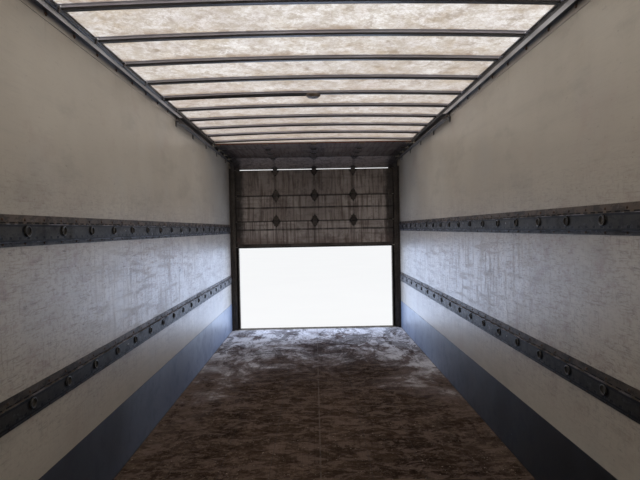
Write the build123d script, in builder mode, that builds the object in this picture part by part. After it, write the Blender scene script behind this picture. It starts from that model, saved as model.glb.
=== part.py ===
from build123d import *
import math
import os

# Cargo body of a box truck, with its sectional roll-up door half open.
# +X is the vehicle's left, +Y its rear, +Z up. Millimetres.
# The origin lies under the middle of the body, where its longsills stand.

# Load space
INNER_WIDTH = 2400.0
INNER_HEIGHT = 2470.0  # floor to the underside of the roof bows at the middle
BODY_LENGTH = 7925.0  # front face to rear face
WALL_THICKNESS = 19.0
RAIL_THICKNESS = 4.0  # rails and frames stand this much proud of the panels

# Underbody
FRAME_WIDTH = 864.0  # across the truck frame that the longsills stand on
LONGSILL_HEIGHT = 152.0
LONGSILL_FLANGE = 51.0
LONGSILL_THICKNESS = 7.0
SILL_BOLT_DIAMETER = 17.0
SILL_BOLT_SPACING = 80.0
SILL_BOLT_FROM_END = 600.0
CROSSMEMBER_HEIGHT = 102.0
CROSSMEMBER_FLANGE = 58.0
CROSSMEMBER_THICKNESS = 5.0
CROSSMEMBER_PITCH = 406.4
CROSSMEMBER_FROM_END = 150.0
BOARD_THICKNESS = 35.0
BOARD_COUNT = 8
BOARD_GAP = 2.0

# Lower rails and sills
BOTTOM_RAIL_ABOVE_FLOOR = 60.0
BOTTOM_RAIL_LEDGE = 54.0
FRONT_SILL_FLANGE = 50.0
FRONT_SILL_SHELF = 60.0

# Wall liners and lashing tracks
SCUFF_HEIGHT = 385.0
SCUFF_THICKNESS = 2.0
SCUFF_SEAM_FROM_FRONT = 4555.0
SCUFF_SEAM_GAP = 1.5
LASHING_ROWS = (667.0, 1376.0)  # lower edge of each row above the floor
LASHING_HEIGHT = 128.0
LASHING_DEPTH = 14.0
LASHING_THICKNESS = 2.5
LASHING_LOWER_FLANGE = 21.0
LASHING_UPPER_FLANGE = 39.0
LASHING_END_GAP = 20.0
RING_RADIUS = 23.0
RING_THICKNESS = 6.0
RING_ABOVE_EDGE = 61.0
RING_PITCH = 304.8
FIRST_RING = 136.0  # from the inside of the front wall
RING_SIDES = 6

# Roof
ROOF_RISE = 21.5  # crown of the roof, from its sides to the middle
BOW_HEIGHT = 25.0
BOW_WIDTH = 25.0
BOW_FLANGE = 12.0
BOW_THICKNESS = 2.5
BOW_END_CUT = 27.0  # where the bow's hat stops short of the rail, for the wiring
BOW_PITCH = 406.4
FIRST_BOW = 416.5  # from the inside of the front wall
ROOF_THICKNESS = 2.0
ROOF_EDGE_COVER = 12.0  # roof skin under the rail, past the end of the rounded edge
COVE_RADIUS = 25.0
INNER_RAIL_WIDTH = 23.0
INNER_RAIL_DROP = 47.0  # below the underside of the bows
INNER_RAIL_THICKNESS = 3.0
INNER_RAIL_LEG = 38.0
ROOF_ANGLE_SHELF = 60.0
LAMP_BOW = 10  # the bow that carries the dome lamp, counted from the front
LAMP_RADIUS = 58.0
LAMP_HEIGHT = 24.0
LAMP_RIM = 8.0
LAMP_FACE_RADIUS = 40.0
LAMP_SIDES = 24
LAMP_CLEARANCE = 0.1  # lamp and conduit below their bow
CONDUIT_RADIUS = 6.0
MAIN_CONDUIT_RADIUS = 11.0
CONDUIT_SIDES = 12
CONDUIT_END_GAP = 40.0  # ahead of the cable drum
CONDUIT_ABOVE_RAIL = 28.0  # middle of the main conduit above the rail's ledge

# Front corners
CORNER_RADIUS = 60.0
CORNER_LEG = 45.0
CORNER_SEAT = 2.0

# Rear frame and door opening
POST_WIDTH = 100.0  # edge of the opening from the wall's inner face
HEADER_BELOW_BOWS = 180.0  # top of the opening below the underside of the bows
REAR_FRAME_DEPTH = 120.0
DOOR_SETBACK = 115.0  # rear face to the inner face of the closed door
POST_INNER_WEB = 32.0  # inner web of the post from the wall's inner face
POST_FACE_FORWARD = 60.0  # post's face to the load space, ahead of the door
HEADER_SHELF = 85.0
SILL_FLANGE = 50.0

# Sectional door
PANEL_COUNT = 7
DOOR_ABOVE_OPENING = 251.0  # top of the closed door, above the opening
PANEL_THICKNESS = 22.0
PANEL_GAP = 3.0
PANEL_LAP = 4.0  # each panel's outer half overlaps the one below
DOOR_OVERLAP = 15.0  # over the lip of each post
DOOR_BOTTOM = 1179.0  # lower edge above the floor, as it hangs half open
BOTTOM_RAIL_LEG = 40.0
BOTTOM_RAIL_THICKNESS = 3.0
PIN_OFFSET = 14.0  # hinge pin from the panels' inner face
HINGE_SPACING = 550.0
HINGE_WIDTH = 62.0
HINGE_LEAF = 68.0
HINGE_THICKNESS = 3.0
KNUCKLE_RADIUS = 7.0
KNUCKLE_SIDES = 6
END_HINGE_FROM_EDGE = 40.0
END_HINGE_WIDTH = 50.0
ROLLER_RADIUS = 23.0
ROLLER_WIDTH = 12.0
ROLLER_SIDES = 12
ROLLER_FROM_EDGE = 22.0
STEM_RADIUS = 5.0
STEM_SIDES = 6
ROLLER_CLEARANCE = 0.3

# Door tracks
TRACK_THICKNESS = 2.5
TRACK_DEPTH = 43.0
TRACK_BEND = 200.0
TRACK_REACH = 2830.0  # ahead of the door
TRACK_FOOT = 6.0
TRACK_BELOW_RAIL = 13.5
HANGER_COUNT = 5
HANGER_PITCH = 620.0
HANGER_WIDTH = 40.0
HANGER_THICKNESS = 4.0
HANGER_LEG = 45.0

# Counterbalance
SHAFT_RADIUS = 12.5
SHAFT_AHEAD = 100.0  # ahead of the door's inner face
SHAFT_BELOW_BOWS = 65.0
SPRING_RADIUS = 26.0
SPRING_START = 120.0
SPRING_TO_DRUM = 190.0
SPRING_TO_BRACKET = 50.0
DRUM_RADIUS = 46.0
DRUM_RIM = 50.0
DRUM_WIDTH = 32.0
SHAFT_SIDES = 16
BRACKET_THICKNESS = 6.0
BRACKET_HEIGHT = 46.0
BRACKET_CLEARANCE = 0.3
CABLE_RADIUS = 2.0
CABLE_SIDES = 6
CABLE_FROM_EDGE = 5.0
CABLE_LUG_ABOVE_BOTTOM = 60.0
CABLE_LUG_SIZE = 24.0

# Latch on the outside of the bottom panel
LATCH_WIDTH = 220.0
LATCH_HEIGHT = 130.0
LATCH_PLATE = 4.0
LATCH_ABOVE_BOTTOM = 110.0
LATCH_LEVER_LENGTH = 170.0
LATCH_LEVER_WIDTH = 30.0
LATCH_LEVER_DEPTH = 16.0

# Lamps
MARKER_LENGTH = 64.0
MARKER_HEIGHT = 20.0
FRONT_MARKER_DEPTH = 18.0
SIDE_MARKER_DEPTH = 12.0
MARKER_SPACING = 200.0
MARKER_FROM_CORNER = 160.0
TAIL_LENGTH = 160.0
TAIL_HEIGHT = 62.0
TAIL_DEPTH = 12.0
TAIL_FROM_SIDE = (170.0, 350.0)

# Places that follow from the sizes
INNER_HALF = INNER_WIDTH / 2
PANEL_OUT = INNER_HALF + WALL_THICKNESS
OUTER_HALF = PANEL_OUT + RAIL_THICKNESS
FRAME_HALF = FRAME_WIDTH / 2
FLOOR_BOTTOM = LONGSILL_HEIGHT + CROSSMEMBER_HEIGHT
FLOOR_TOP = FLOOR_BOTTOM + BOARD_THICKNESS
BOW_BOTTOM = FLOOR_TOP + INNER_HEIGHT
BOW_END = BOW_BOTTOM - ROOF_RISE
ROOF_BOTTOM = BOW_END + BOW_HEIGHT
ROOF_TOP = ROOF_BOTTOM + ROOF_THICKNESS
RAIL_TOP = ROOF_TOP + RAIL_THICKNESS
WALL_TOP = RAIL_TOP - COVE_RADIUS
RAIL_BOTTOM = BOW_BOTTOM - INNER_RAIL_DROP
BOTTOM_RAIL_TOP = FLOOR_TOP + BOTTOM_RAIL_ABOVE_FLOOR
BOTTOM_RAIL_BOTTOM = LONGSILL_HEIGHT - RAIL_THICKNESS

FRONT_Y = (FRONT_MARKER_DEPTH - TAIL_DEPTH - BODY_LENGTH) / 2
REAR_Y = FRONT_Y + BODY_LENGTH
FRONT_INNER = FRONT_Y + RAIL_THICKNESS + WALL_THICKNESS
FRAME_FRONT = REAR_Y - REAR_FRAME_DEPTH
DOOR_Y = REAR_Y - DOOR_SETBACK
POST_FRONT = DOOR_Y - POST_FACE_FORWARD
CORNER_X = OUTER_HALF - CORNER_RADIUS
CORNER_Y = FRONT_Y + CORNER_RADIUS
CORNER_END = CORNER_Y + CORNER_LEG
CROWN_RADIUS = (CORNER_X**2 + ROOF_RISE**2) / (2 * ROOF_RISE)

OPENING_HALF = INNER_HALF - POST_WIDTH
OPENING_TOP = BOW_BOTTOM - HEADER_BELOW_BOWS
POST_WEB = INNER_HALF - POST_INNER_WEB
DOOR_HALF = OPENING_HALF + DOOR_OVERLAP
PANEL_PITCH = (OPENING_TOP - FLOOR_TOP + DOOR_ABOVE_OPENING) / PANEL_COUNT
BOW_HALF = INNER_HALF - INNER_RAIL_WIDTH
LASHING_FACE = INNER_HALF - LASHING_DEPTH

TRACK_HALF = ROLLER_RADIUS + ROLLER_CLEARANCE
TRACK_OUTER_HALF = TRACK_HALF + TRACK_THICKNESS
TRACK_Y = DOOR_Y - PIN_OFFSET
TRACK_Z = RAIL_BOTTOM - TRACK_BELOW_RAIL - TRACK_OUTER_HALF
BEND_Z = TRACK_Z - TRACK_BEND
BEND_Y = TRACK_Y - TRACK_BEND
TRACK_END = DOOR_Y - TRACK_REACH
TRACK_WEB = POST_WEB - TRACK_THICKNESS
SHAFT_Y = DOOR_Y - SHAFT_AHEAD
SHAFT_Z = BOW_BOTTOM - SHAFT_BELOW_BOWS
CABLE_X = DOOR_HALF + CABLE_FROM_EDGE
CABLE_Y = SHAFT_Y + DRUM_RADIUS + CABLE_RADIUS

os.makedirs("parts", exist_ok=True)


def save(piece, name):
    """Label one piece and write it."""
    piece.label = name
    export_step(piece, f"parts/{name}.step")


def save_pair(piece, name):
    """Write a piece drawn on the left side, and its mirror image."""
    save(piece, f"{name}_left")
    with BuildPart() as twin:
        add(piece)
        mirror(about=Plane.YZ, mode=Mode.REPLACE)
    save(twin.part, f"{name}_right")


def across(y):
    """Plane across the body at y: local x across, local y up, normal forward."""
    return Plane(origin=(0, y, 0), x_dir=(1, 0, 0), z_dir=(0, -1, 0))


def patch(x0, x1, y0, y1, mode=Mode.ADD):
    """Rectangle of the open sketch between two x and two y values."""
    with Locations(((x0 + x1) / 2, (y0 + y1) / 2)):
        Rectangle(x1 - x0, y1 - y0, mode=mode)


def evenly(first, last, pitch):
    """Places at the pitch from first, as many as fit before last."""
    count = int((last - first) / pitch) + 1
    return [first + pitch * k for k in range(count)]


def crown(x):
    """Height of the roof's crown at x, above its level at the sides."""
    return math.sqrt(CROWN_RADIUS**2 - x**2) - CROWN_RADIUS + ROOF_RISE


def crowned(low, high, half):
    """Strip of the crowned roof seen along the body, from low to high at its level sides."""
    side = list(dict.fromkeys([(CORNER_X, high), (half, high), (half, low), (CORNER_X, low)]))
    with BuildSketch() as section:
        with BuildLine():
            ThreePointArc((-CORNER_X, high), (0, high + ROOF_RISE), (CORNER_X, high))
            Polyline(*side)
            ThreePointArc((CORNER_X, low), (0, low + ROOF_RISE), (-CORNER_X, low))
            Polyline(*[(-x, z) for x, z in reversed(side)])
        make_face()
    return section.sketch


def crowned_plate(low, high, half):
    """Plate with a level lower edge and a crowned upper edge."""
    with BuildSketch() as section:
        add(crowned(low, high, half))
        patch(-half, half, low, low + ROOF_RISE)
    return section.sketch


# Longsill: a channel on the truck frame, with four bolt holes near each end
SILL_FRONT = FRONT_Y + RAIL_THICKNESS
SILL_REAR = REAR_Y - RAIL_THICKNESS
bolt_rows = [SILL_FRONT + SILL_BOLT_FROM_END, SILL_REAR - SILL_BOLT_FROM_END]
with BuildPart() as longsill:
    with BuildSketch(across(SILL_REAR)):
        patch(FRAME_HALF - LONGSILL_FLANGE, FRAME_HALF, 0, LONGSILL_HEIGHT)
        patch(
            FRAME_HALF - LONGSILL_FLANGE,
            FRAME_HALF - LONGSILL_THICKNESS,
            LONGSILL_THICKNESS,
            LONGSILL_HEIGHT - LONGSILL_THICKNESS,
            mode=Mode.SUBTRACT,
        )
    extrude(amount=SILL_REAR - SILL_FRONT)
    with BuildSketch(Plane.YZ.offset(FRAME_HALF)):
        with Locations(*[(y, LONGSILL_HEIGHT / 2) for y in bolt_rows]):
            with GridLocations(SILL_BOLT_SPACING, SILL_BOLT_SPACING, 2, 2):
                Circle(SILL_BOLT_DIAMETER / 2)
    extrude(amount=-LONGSILL_THICKNESS, mode=Mode.SUBTRACT)
save_pair(longsill.part, "longsill")

# Crossmembers: light I-beams from side to side
cross_places = evenly(FRONT_Y + CROSSMEMBER_FROM_END, FRAME_FRONT - CROSSMEMBER_FLANGE, CROSSMEMBER_PITCH)
with BuildPart() as crossmembers:
    with BuildSketch(Plane.YZ.offset(-PANEL_OUT)):
        for y in cross_places:
            half_flange = CROSSMEMBER_FLANGE / 2
            half_web = CROSSMEMBER_THICKNESS / 2
            patch(y - half_flange, y + half_flange, LONGSILL_HEIGHT, LONGSILL_HEIGHT + CROSSMEMBER_THICKNESS)
            patch(y - half_flange, y + half_flange, FLOOR_BOTTOM - CROSSMEMBER_THICKNESS, FLOOR_BOTTOM)
            patch(y - half_web, y + half_web, LONGSILL_HEIGHT, FLOOR_BOTTOM)
    extrude(amount=2 * PANEL_OUT)
save(crossmembers.part, "crossmembers")

# Floor: hardwood boards laid lengthwise
board_pitch = (INNER_WIDTH + BOARD_GAP) / BOARD_COUNT
with BuildPart() as floor_boards:
    with BuildSketch(across(FRAME_FRONT)):
        with Locations((0, FLOOR_BOTTOM + BOARD_THICKNESS / 2)):
            with GridLocations(board_pitch, 1, BOARD_COUNT, 1):
                Rectangle(board_pitch - BOARD_GAP, BOARD_THICKNESS)
    extrude(amount=FRAME_FRONT - FRONT_INNER)
save(floor_boards.part, "floor_boards")

# Bottom rail: an angle outside the wall panel, its ledge under the crossmembers
with BuildPart() as bottom_rail:
    with BuildSketch(across(FRAME_FRONT)):
        patch(PANEL_OUT, OUTER_HALF, BOTTOM_RAIL_BOTTOM, BOTTOM_RAIL_TOP)
        patch(OUTER_HALF - BOTTOM_RAIL_LEDGE, OUTER_HALF, BOTTOM_RAIL_BOTTOM, LONGSILL_HEIGHT)
    extrude(amount=FRAME_FRONT - CORNER_END)
save_pair(bottom_rail.part, "bottom_rail")

# Side wall: one smooth panel from corner post to rear post
with BuildPart() as side_wall:
    with BuildSketch(across(REAR_Y - RAIL_THICKNESS)):
        patch(INNER_HALF, PANEL_OUT, FLOOR_BOTTOM, WALL_TOP)
    extrude(amount=REAR_Y - RAIL_THICKNESS - CORNER_Y - CORNER_SEAT)
save_pair(side_wall.part, "side_wall")

# Scuff plate: two sheets that meet at a seam
seam_y = FRONT_INNER + SCUFF_SEAM_FROM_FRONT
with BuildPart() as scuff_plate:
    with BuildSketch(Plane.YZ.offset(INNER_HALF)):
        patch(CORNER_END, seam_y, FLOOR_TOP, FLOOR_TOP + SCUFF_HEIGHT)
        patch(seam_y + SCUFF_SEAM_GAP, POST_FRONT, FLOOR_TOP, FLOOR_TOP + SCUFF_HEIGHT)
    extrude(amount=-SCUFF_THICKNESS)
save_pair(scuff_plate.part, "scuff_plate")

# Lashing tracks: raised section with a wide upper and a narrow lower flange, two rows
with BuildPart() as lashing_tracks:
    with BuildSketch(across(POST_FRONT - LASHING_END_GAP)):
        for row in LASHING_ROWS:
            low = FLOOR_TOP + row
            high = low + LASHING_HEIGHT
            web_low = low + LASHING_LOWER_FLANGE
            web_high = high - LASHING_UPPER_FLANGE
            patch(INNER_HALF - LASHING_THICKNESS, INNER_HALF, low, web_low)
            patch(LASHING_FACE, INNER_HALF, web_low - LASHING_THICKNESS, web_low)
            patch(LASHING_FACE, LASHING_FACE + LASHING_THICKNESS, web_low, web_high)
            patch(LASHING_FACE, INNER_HALF, web_high, web_high + LASHING_THICKNESS)
            patch(INNER_HALF - LASHING_THICKNESS, INNER_HALF, web_high, high)
    extrude(amount=POST_FRONT - CORNER_END - 2 * LASHING_END_GAP)
save_pair(lashing_tracks.part, "lashing_tracks")

# Tie rings: lie flat on the raised web, on both walls
ring_places = evenly(FRONT_INNER + FIRST_RING, POST_FRONT - LASHING_END_GAP - RING_RADIUS, RING_PITCH)
with BuildPart() as tie_rings:
    for side in (1, -1):
        with BuildSketch(Plane.YZ.offset(side * LASHING_FACE)):
            for row in LASHING_ROWS:
                with Locations(*[(y, FLOOR_TOP + row + RING_ABOVE_EDGE) for y in ring_places]):
                    RegularPolygon(RING_RADIUS, RING_SIDES)
                    RegularPolygon(RING_RADIUS - RING_THICKNESS, RING_SIDES, mode=Mode.SUBTRACT)
        extrude(amount=-side * RING_THICKNESS)
save(tie_rings.part, "tie_rings")


def cove(edge, flange):
    """Section of the outer roof rail: wall leg, rounded edge and flange over the roof skin."""
    turn = (edge - COVE_RADIUS, RAIL_TOP - COVE_RADIUS)
    with BuildSketch() as section:
        with BuildLine():
            Line((edge - flange, RAIL_TOP), (edge - COVE_RADIUS, RAIL_TOP))
            CenterArc(turn, COVE_RADIUS, 0, 90)
            Polyline(
                (edge, WALL_TOP),
                (edge, RAIL_BOTTOM),
                (edge - RAIL_THICKNESS, RAIL_BOTTOM),
                (edge - RAIL_THICKNESS, WALL_TOP),
                (edge - COVE_RADIUS, ROOF_TOP),
                (edge - flange, ROOF_TOP),
                (edge - flange, RAIL_TOP),
            )
        make_face()
    return section.sketch


# Outer top rails along both sides
with BuildPart() as top_rail:
    with BuildSketch(across(FRAME_FRONT)):
        add(cove(OUTER_HALF, CORNER_RADIUS))
    extrude(amount=FRAME_FRONT - CORNER_Y)
save_pair(top_rail.part, "top_rail")

# The same rail across the front, bent to the roof's crown
with BuildPart() as front_rail_inside:
    with BuildSketch(across(CORNER_Y)):
        add(crowned_plate(RAIL_BOTTOM, ROOF_TOP, CORNER_X))
    extrude(amount=CORNER_RADIUS - RAIL_THICKNESS)
    front_face = front_rail_inside.faces().sort_by(Axis.Y)[0]
    chamfer(front_face.edges().sort_by(Axis.Z)[-1], COVE_RADIUS - RAIL_THICKNESS)
with BuildPart() as front_top_rail:
    with BuildSketch(across(CORNER_Y)):
        add(crowned_plate(RAIL_BOTTOM, RAIL_TOP, CORNER_X))
    extrude(amount=CORNER_RADIUS)
    front_face = front_top_rail.faces().sort_by(Axis.Y)[0]
    fillet(front_face.edges().sort_by(Axis.Z)[-1], COVE_RADIUS)
    add(front_rail_inside.part, mode=Mode.SUBTRACT)
save(front_top_rail.part, "front_top_rail")

# Corner caps: the rail's section turned round each corner
with BuildPart() as corner_caps:
    with BuildSketch(Plane(origin=(CORNER_X, CORNER_Y, 0), x_dir=(1, 0, 0), z_dir=(0, -1, 0))):
        add(cove(CORNER_RADIUS, CORNER_RADIUS))
    revolve(axis=Axis((CORNER_X, CORNER_Y, 0), (0, 0, -1)), revolution_arc=90)
    mirror(about=Plane.YZ)
save(corner_caps.part, "front_corner_caps")

# Inner roof rail: carries the bow ends, bolted through the wall
with BuildPart() as inner_rail:
    with BuildSketch(across(REAR_Y - RAIL_THICKNESS)):
        patch(BOW_HALF, BOW_HALF + INNER_RAIL_THICKNESS, RAIL_BOTTOM, ROOF_BOTTOM)
        patch(BOW_HALF, INNER_HALF, RAIL_BOTTOM, RAIL_BOTTOM + INNER_RAIL_THICKNESS)
        patch(INNER_HALF - INNER_RAIL_THICKNESS, INNER_HALF, RAIL_BOTTOM - INNER_RAIL_LEG, RAIL_BOTTOM)
    extrude(amount=REAR_Y - RAIL_THICKNESS - CORNER_END)
save_pair(inner_rail.part, "inner_roof_rail")

# Roof bow: crowned hat section, its ends cut back to the flanges over the wiring
bow_places = evenly(FRONT_INNER + FIRST_BOW, FRAME_FRONT - BOW_PITCH, BOW_PITCH)
half_bow = BOW_WIDTH / 2
flange_bottom = ROOF_BOTTOM - BOW_THICKNESS
bow_strips = (
    # front y, rear y, lower edge, upper edge
    (-half_bow, half_bow, BOW_END, BOW_END + BOW_THICKNESS),
    (-half_bow, BOW_THICKNESS - half_bow, BOW_END, ROOF_BOTTOM),
    (half_bow - BOW_THICKNESS, half_bow, BOW_END, ROOF_BOTTOM),
    (-half_bow - BOW_FLANGE, -half_bow, flange_bottom, ROOF_BOTTOM),
    (half_bow, half_bow + BOW_FLANGE, flange_bottom, ROOF_BOTTOM),
)
with BuildPart() as bow:
    for front, rear, low, high in bow_strips:
        with BuildSketch(across(rear)):
            add(crowned(low, high, BOW_HALF))
        extrude(amount=rear - front)
    with BuildSketch(across(half_bow)):
        patch(BOW_HALF - BOW_END_CUT, BOW_HALF, BOW_END, flange_bottom)
        patch(-BOW_HALF, BOW_END_CUT - BOW_HALF, BOW_END, flange_bottom)
    extrude(amount=BOW_WIDTH, mode=Mode.SUBTRACT)

# The row of bows under the skin
with BuildPart() as roof_bows:
    with Locations(*[(0, y, 0) for y in bow_places]):
        add(bow.part)
save(roof_bows.part, "roof_bows")

# Roof skin: one translucent sheet, its edges under the rails and the header
roof_margin = COVE_RADIUS + ROOF_EDGE_COVER
skin_rear = REAR_Y - REAR_FRAME_DEPTH / 2
with BuildPart() as roof_skin:
    with BuildSketch(across(skin_rear)):
        add(crowned(ROOF_BOTTOM, ROOF_TOP, OUTER_HALF - roof_margin))
    extrude(amount=skin_rear - FRONT_Y - roof_margin)
save(roof_skin.part, "roof_skin")

# Dome lamp under one bow: a rim and a tapered lens with a flat face
lamp_y = bow_places[LAMP_BOW]
lamp_top = BOW_BOTTOM - LAMP_CLEARANCE
with BuildPart() as dome_lamp:
    with BuildSketch(Plane.XY.offset(lamp_top - LAMP_RIM)):
        with Locations((0, lamp_y)):
            RegularPolygon(LAMP_RADIUS, LAMP_SIDES)
    extrude(amount=LAMP_RIM)
    with BuildSketch(Plane.XY.offset(lamp_top - LAMP_RIM)):
        with Locations((0, lamp_y)):
            RegularPolygon(LAMP_RADIUS, LAMP_SIDES)
    with BuildSketch(Plane.XY.offset(lamp_top - LAMP_HEIGHT)):
        with Locations((0, lamp_y)):
            RegularPolygon(LAMP_FACE_RADIUS, LAMP_SIDES)
    loft(ruled=True)
save(dome_lamp.part, "dome_lamp")

# Conduit: one run under the lamp's bow to the right wall, one along the roof rail there
conduit_end = SHAFT_Y - DRUM_RIM - CONDUIT_END_GAP
run_start = -LAMP_RADIUS
run_end = 2 * MAIN_CONDUIT_RADIUS - BOW_HALF
run_level = BOW_END - LAMP_CLEARANCE - CONDUIT_RADIUS
run_places = [(x, run_level + crown(x)) for x in (run_start, (run_start + run_end) / 2, run_end)]
with BuildPart() as lamp_conduit:
    with BuildLine(across(lamp_y)) as run:
        ThreePointArc(*run_places)
    with BuildSketch(Plane(origin=run.line @ 0, z_dir=run.line % 0)):
        RegularPolygon(CONDUIT_RADIUS, CONDUIT_SIDES)
    sweep()
    with BuildSketch(across(conduit_end)):
        with Locations((MAIN_CONDUIT_RADIUS - BOW_HALF, RAIL_BOTTOM + CONDUIT_ABOVE_RAIL)):
            RegularPolygon(MAIN_CONDUIT_RADIUS, CONDUIT_SIDES)
    extrude(amount=conduit_end - CORNER_END)
save(lamp_conduit.part, "lamp_conduit")

# Front wall panel
with BuildPart() as front_wall:
    with BuildSketch(across(FRONT_INNER)):
        patch(CORNER_SEAT - CORNER_X, CORNER_X - CORNER_SEAT, FLOOR_BOTTOM, WALL_TOP)
    extrude(amount=WALL_THICKNESS)
save(front_wall.part, "front_wall")

# Front corner post: hollow section with a rounded outside and a seat for each panel
with BuildPart() as corner_post:
    with BuildSketch(Plane.XY.offset(BOTTOM_RAIL_BOTTOM)):
        with BuildLine():
            Line((CORNER_X - CORNER_LEG, FRONT_Y), (CORNER_X, FRONT_Y))
            CenterArc((CORNER_X, CORNER_Y), CORNER_RADIUS, -90, 90)
            Polyline(
                (OUTER_HALF, CORNER_Y),
                (OUTER_HALF, CORNER_END),
                (PANEL_OUT, CORNER_END),
                (PANEL_OUT, CORNER_Y + CORNER_SEAT),
                (INNER_HALF, CORNER_Y + CORNER_SEAT),
                (INNER_HALF, CORNER_END),
                (INNER_HALF - RAIL_THICKNESS, CORNER_END),
                (INNER_HALF - RAIL_THICKNESS, FRONT_INNER + RAIL_THICKNESS),
                (CORNER_X - CORNER_LEG, FRONT_INNER + RAIL_THICKNESS),
                (CORNER_X - CORNER_LEG, FRONT_INNER),
                (CORNER_X - CORNER_SEAT, FRONT_INNER),
                (CORNER_X - CORNER_SEAT, FRONT_Y + RAIL_THICKNESS),
                (CORNER_X - CORNER_LEG, FRONT_Y + RAIL_THICKNESS),
                (CORNER_X - CORNER_LEG, FRONT_Y),
            )
        make_face()
        with BuildSketch(mode=Mode.SUBTRACT):
            with Locations((CORNER_X, CORNER_Y)):
                Circle(CORNER_RADIUS - RAIL_THICKNESS)
            patch(
                CORNER_X + CORNER_SEAT,
                OUTER_HALF,
                FRONT_Y,
                CORNER_Y - CORNER_SEAT,
                mode=Mode.INTERSECT,
            )
            patch(CORNER_X, INNER_HALF, FRONT_INNER, CORNER_Y, mode=Mode.SUBTRACT)
    extrude(amount=RAIL_BOTTOM - BOTTOM_RAIL_BOTTOM)
    with BuildSketch(Plane.XY.offset(BOTTOM_RAIL_BOTTOM)):
        patch(CORNER_X - CORNER_LEG, INNER_HALF, FRONT_INNER, CORNER_END)
    extrude(amount=FLOOR_TOP - BOTTOM_RAIL_BOTTOM, mode=Mode.SUBTRACT)
save_pair(corner_post.part, "front_corner_post")

# Front roof angle: closes the inside edge between front wall and roof
with BuildPart() as roof_angle:
    with BuildSketch(across(FRONT_INNER + RAIL_THICKNESS)):
        add(crowned(RAIL_BOTTOM, ROOF_BOTTOM, CORNER_X))
    extrude(amount=RAIL_THICKNESS)
    with BuildSketch(across(FRONT_INNER + ROOF_ANGLE_SHELF)):
        add(crowned(ROOF_BOTTOM - RAIL_THICKNESS, ROOF_BOTTOM, CORNER_X))
    extrude(amount=ROOF_ANGLE_SHELF)
save(roof_angle.part, "front_roof_angle")

# Front sill: on the longsills, with a shelf under the wall panel and the board ends
with BuildPart() as front_sill:
    with BuildSketch(Plane.YZ.offset(CORNER_LEG - CORNER_X)):
        patch(FRONT_Y, FRONT_Y + RAIL_THICKNESS, LONGSILL_HEIGHT, BOTTOM_RAIL_TOP)
        patch(FRONT_Y, FRONT_Y + FRONT_SILL_FLANGE, LONGSILL_HEIGHT, LONGSILL_HEIGHT + RAIL_THICKNESS)
        patch(FRONT_Y, FRONT_Y + FRONT_SILL_SHELF, FLOOR_BOTTOM - RAIL_THICKNESS, FLOOR_BOTTOM)
    extrude(amount=2 * (CORNER_X - CORNER_LEG))
save(front_sill.part, "front_sill")

# Rear post: outer web, rear face with a lip at the opening, and a box round the wall's end
lip_front = DOOR_Y + PANEL_THICKNESS + RAIL_THICKNESS
with BuildPart() as rear_post:
    with BuildSketch(Plane.XY.offset(FLOOR_TOP)):
        patch(PANEL_OUT, OUTER_HALF, FRAME_FRONT, REAR_Y)
        patch(OPENING_HALF, OUTER_HALF, REAR_Y - RAIL_THICKNESS, REAR_Y)
        patch(OPENING_HALF, OPENING_HALF + RAIL_THICKNESS, lip_front, REAR_Y)
        patch(POST_WEB, POST_WEB + RAIL_THICKNESS, POST_FRONT, REAR_Y)
        patch(POST_WEB, INNER_HALF, POST_FRONT, POST_FRONT + RAIL_THICKNESS)
    extrude(amount=OPENING_TOP - FLOOR_TOP)
save_pair(rear_post.part, "rear_post")

# Rear header: face, shelf over the opening, flange over the roof skin and end plates
with BuildPart() as rear_header:
    with BuildSketch(across(REAR_Y)):
        add(crowned_plate(OPENING_TOP, RAIL_TOP, OUTER_HALF))
    extrude(amount=RAIL_THICKNESS)
    with BuildSketch(across(REAR_Y)):
        add(crowned(ROOF_TOP, RAIL_TOP, OUTER_HALF))
    extrude(amount=REAR_FRAME_DEPTH)
    with BuildSketch(Plane.YZ.offset(-POST_WEB)):
        patch(REAR_Y - HEADER_SHELF, REAR_Y, OPENING_TOP, OPENING_TOP + RAIL_THICKNESS)
    extrude(amount=2 * POST_WEB)
    for side in (1, -1):
        with BuildSketch(Plane.YZ.offset(side * PANEL_OUT)):
            patch(FRAME_FRONT, REAR_Y, OPENING_TOP, RAIL_TOP)
        extrude(amount=side * RAIL_THICKNESS)
save(rear_header.part, "rear_header")

# Rear sill: threshold plate, face and lower flange, closed at the ends
with BuildPart() as rear_sill:
    with BuildSketch(Plane.YZ.offset(-OUTER_HALF)):
        patch(REAR_Y - RAIL_THICKNESS, REAR_Y, LONGSILL_HEIGHT, FLOOR_TOP)
        patch(REAR_Y - SILL_FLANGE, REAR_Y, LONGSILL_HEIGHT, LONGSILL_HEIGHT + RAIL_THICKNESS)
    extrude(amount=2 * OUTER_HALF)
    with BuildSketch(Plane.YZ.offset(-INNER_HALF)):
        patch(FRAME_FRONT, REAR_Y, FLOOR_TOP - RAIL_THICKNESS, FLOOR_TOP)
    extrude(amount=2 * INNER_HALF)
    for side in (1, -1):
        with BuildSketch(Plane.YZ.offset(side * PANEL_OUT)):
            patch(FRAME_FRONT, REAR_Y, LONGSILL_HEIGHT, FLOOR_TOP)
        extrude(amount=side * RAIL_THICKNESS)
save(rear_sill.part, "rear_sill")


def track_point(s):
    """Roller centre in (y, z) after s along the track: up, round the bend, then forward."""
    straight = BEND_Z - FLOOR_TOP
    bend = TRACK_BEND * math.pi / 2
    if s < straight:
        return (TRACK_Y, FLOOR_TOP + s)
    if s < straight + bend:
        turn = (s - straight) / TRACK_BEND
        return (BEND_Y + TRACK_BEND * math.cos(turn), BEND_Z + TRACK_BEND * math.sin(turn))
    return (BEND_Y - (s - straight - bend), TRACK_Z)


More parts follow.
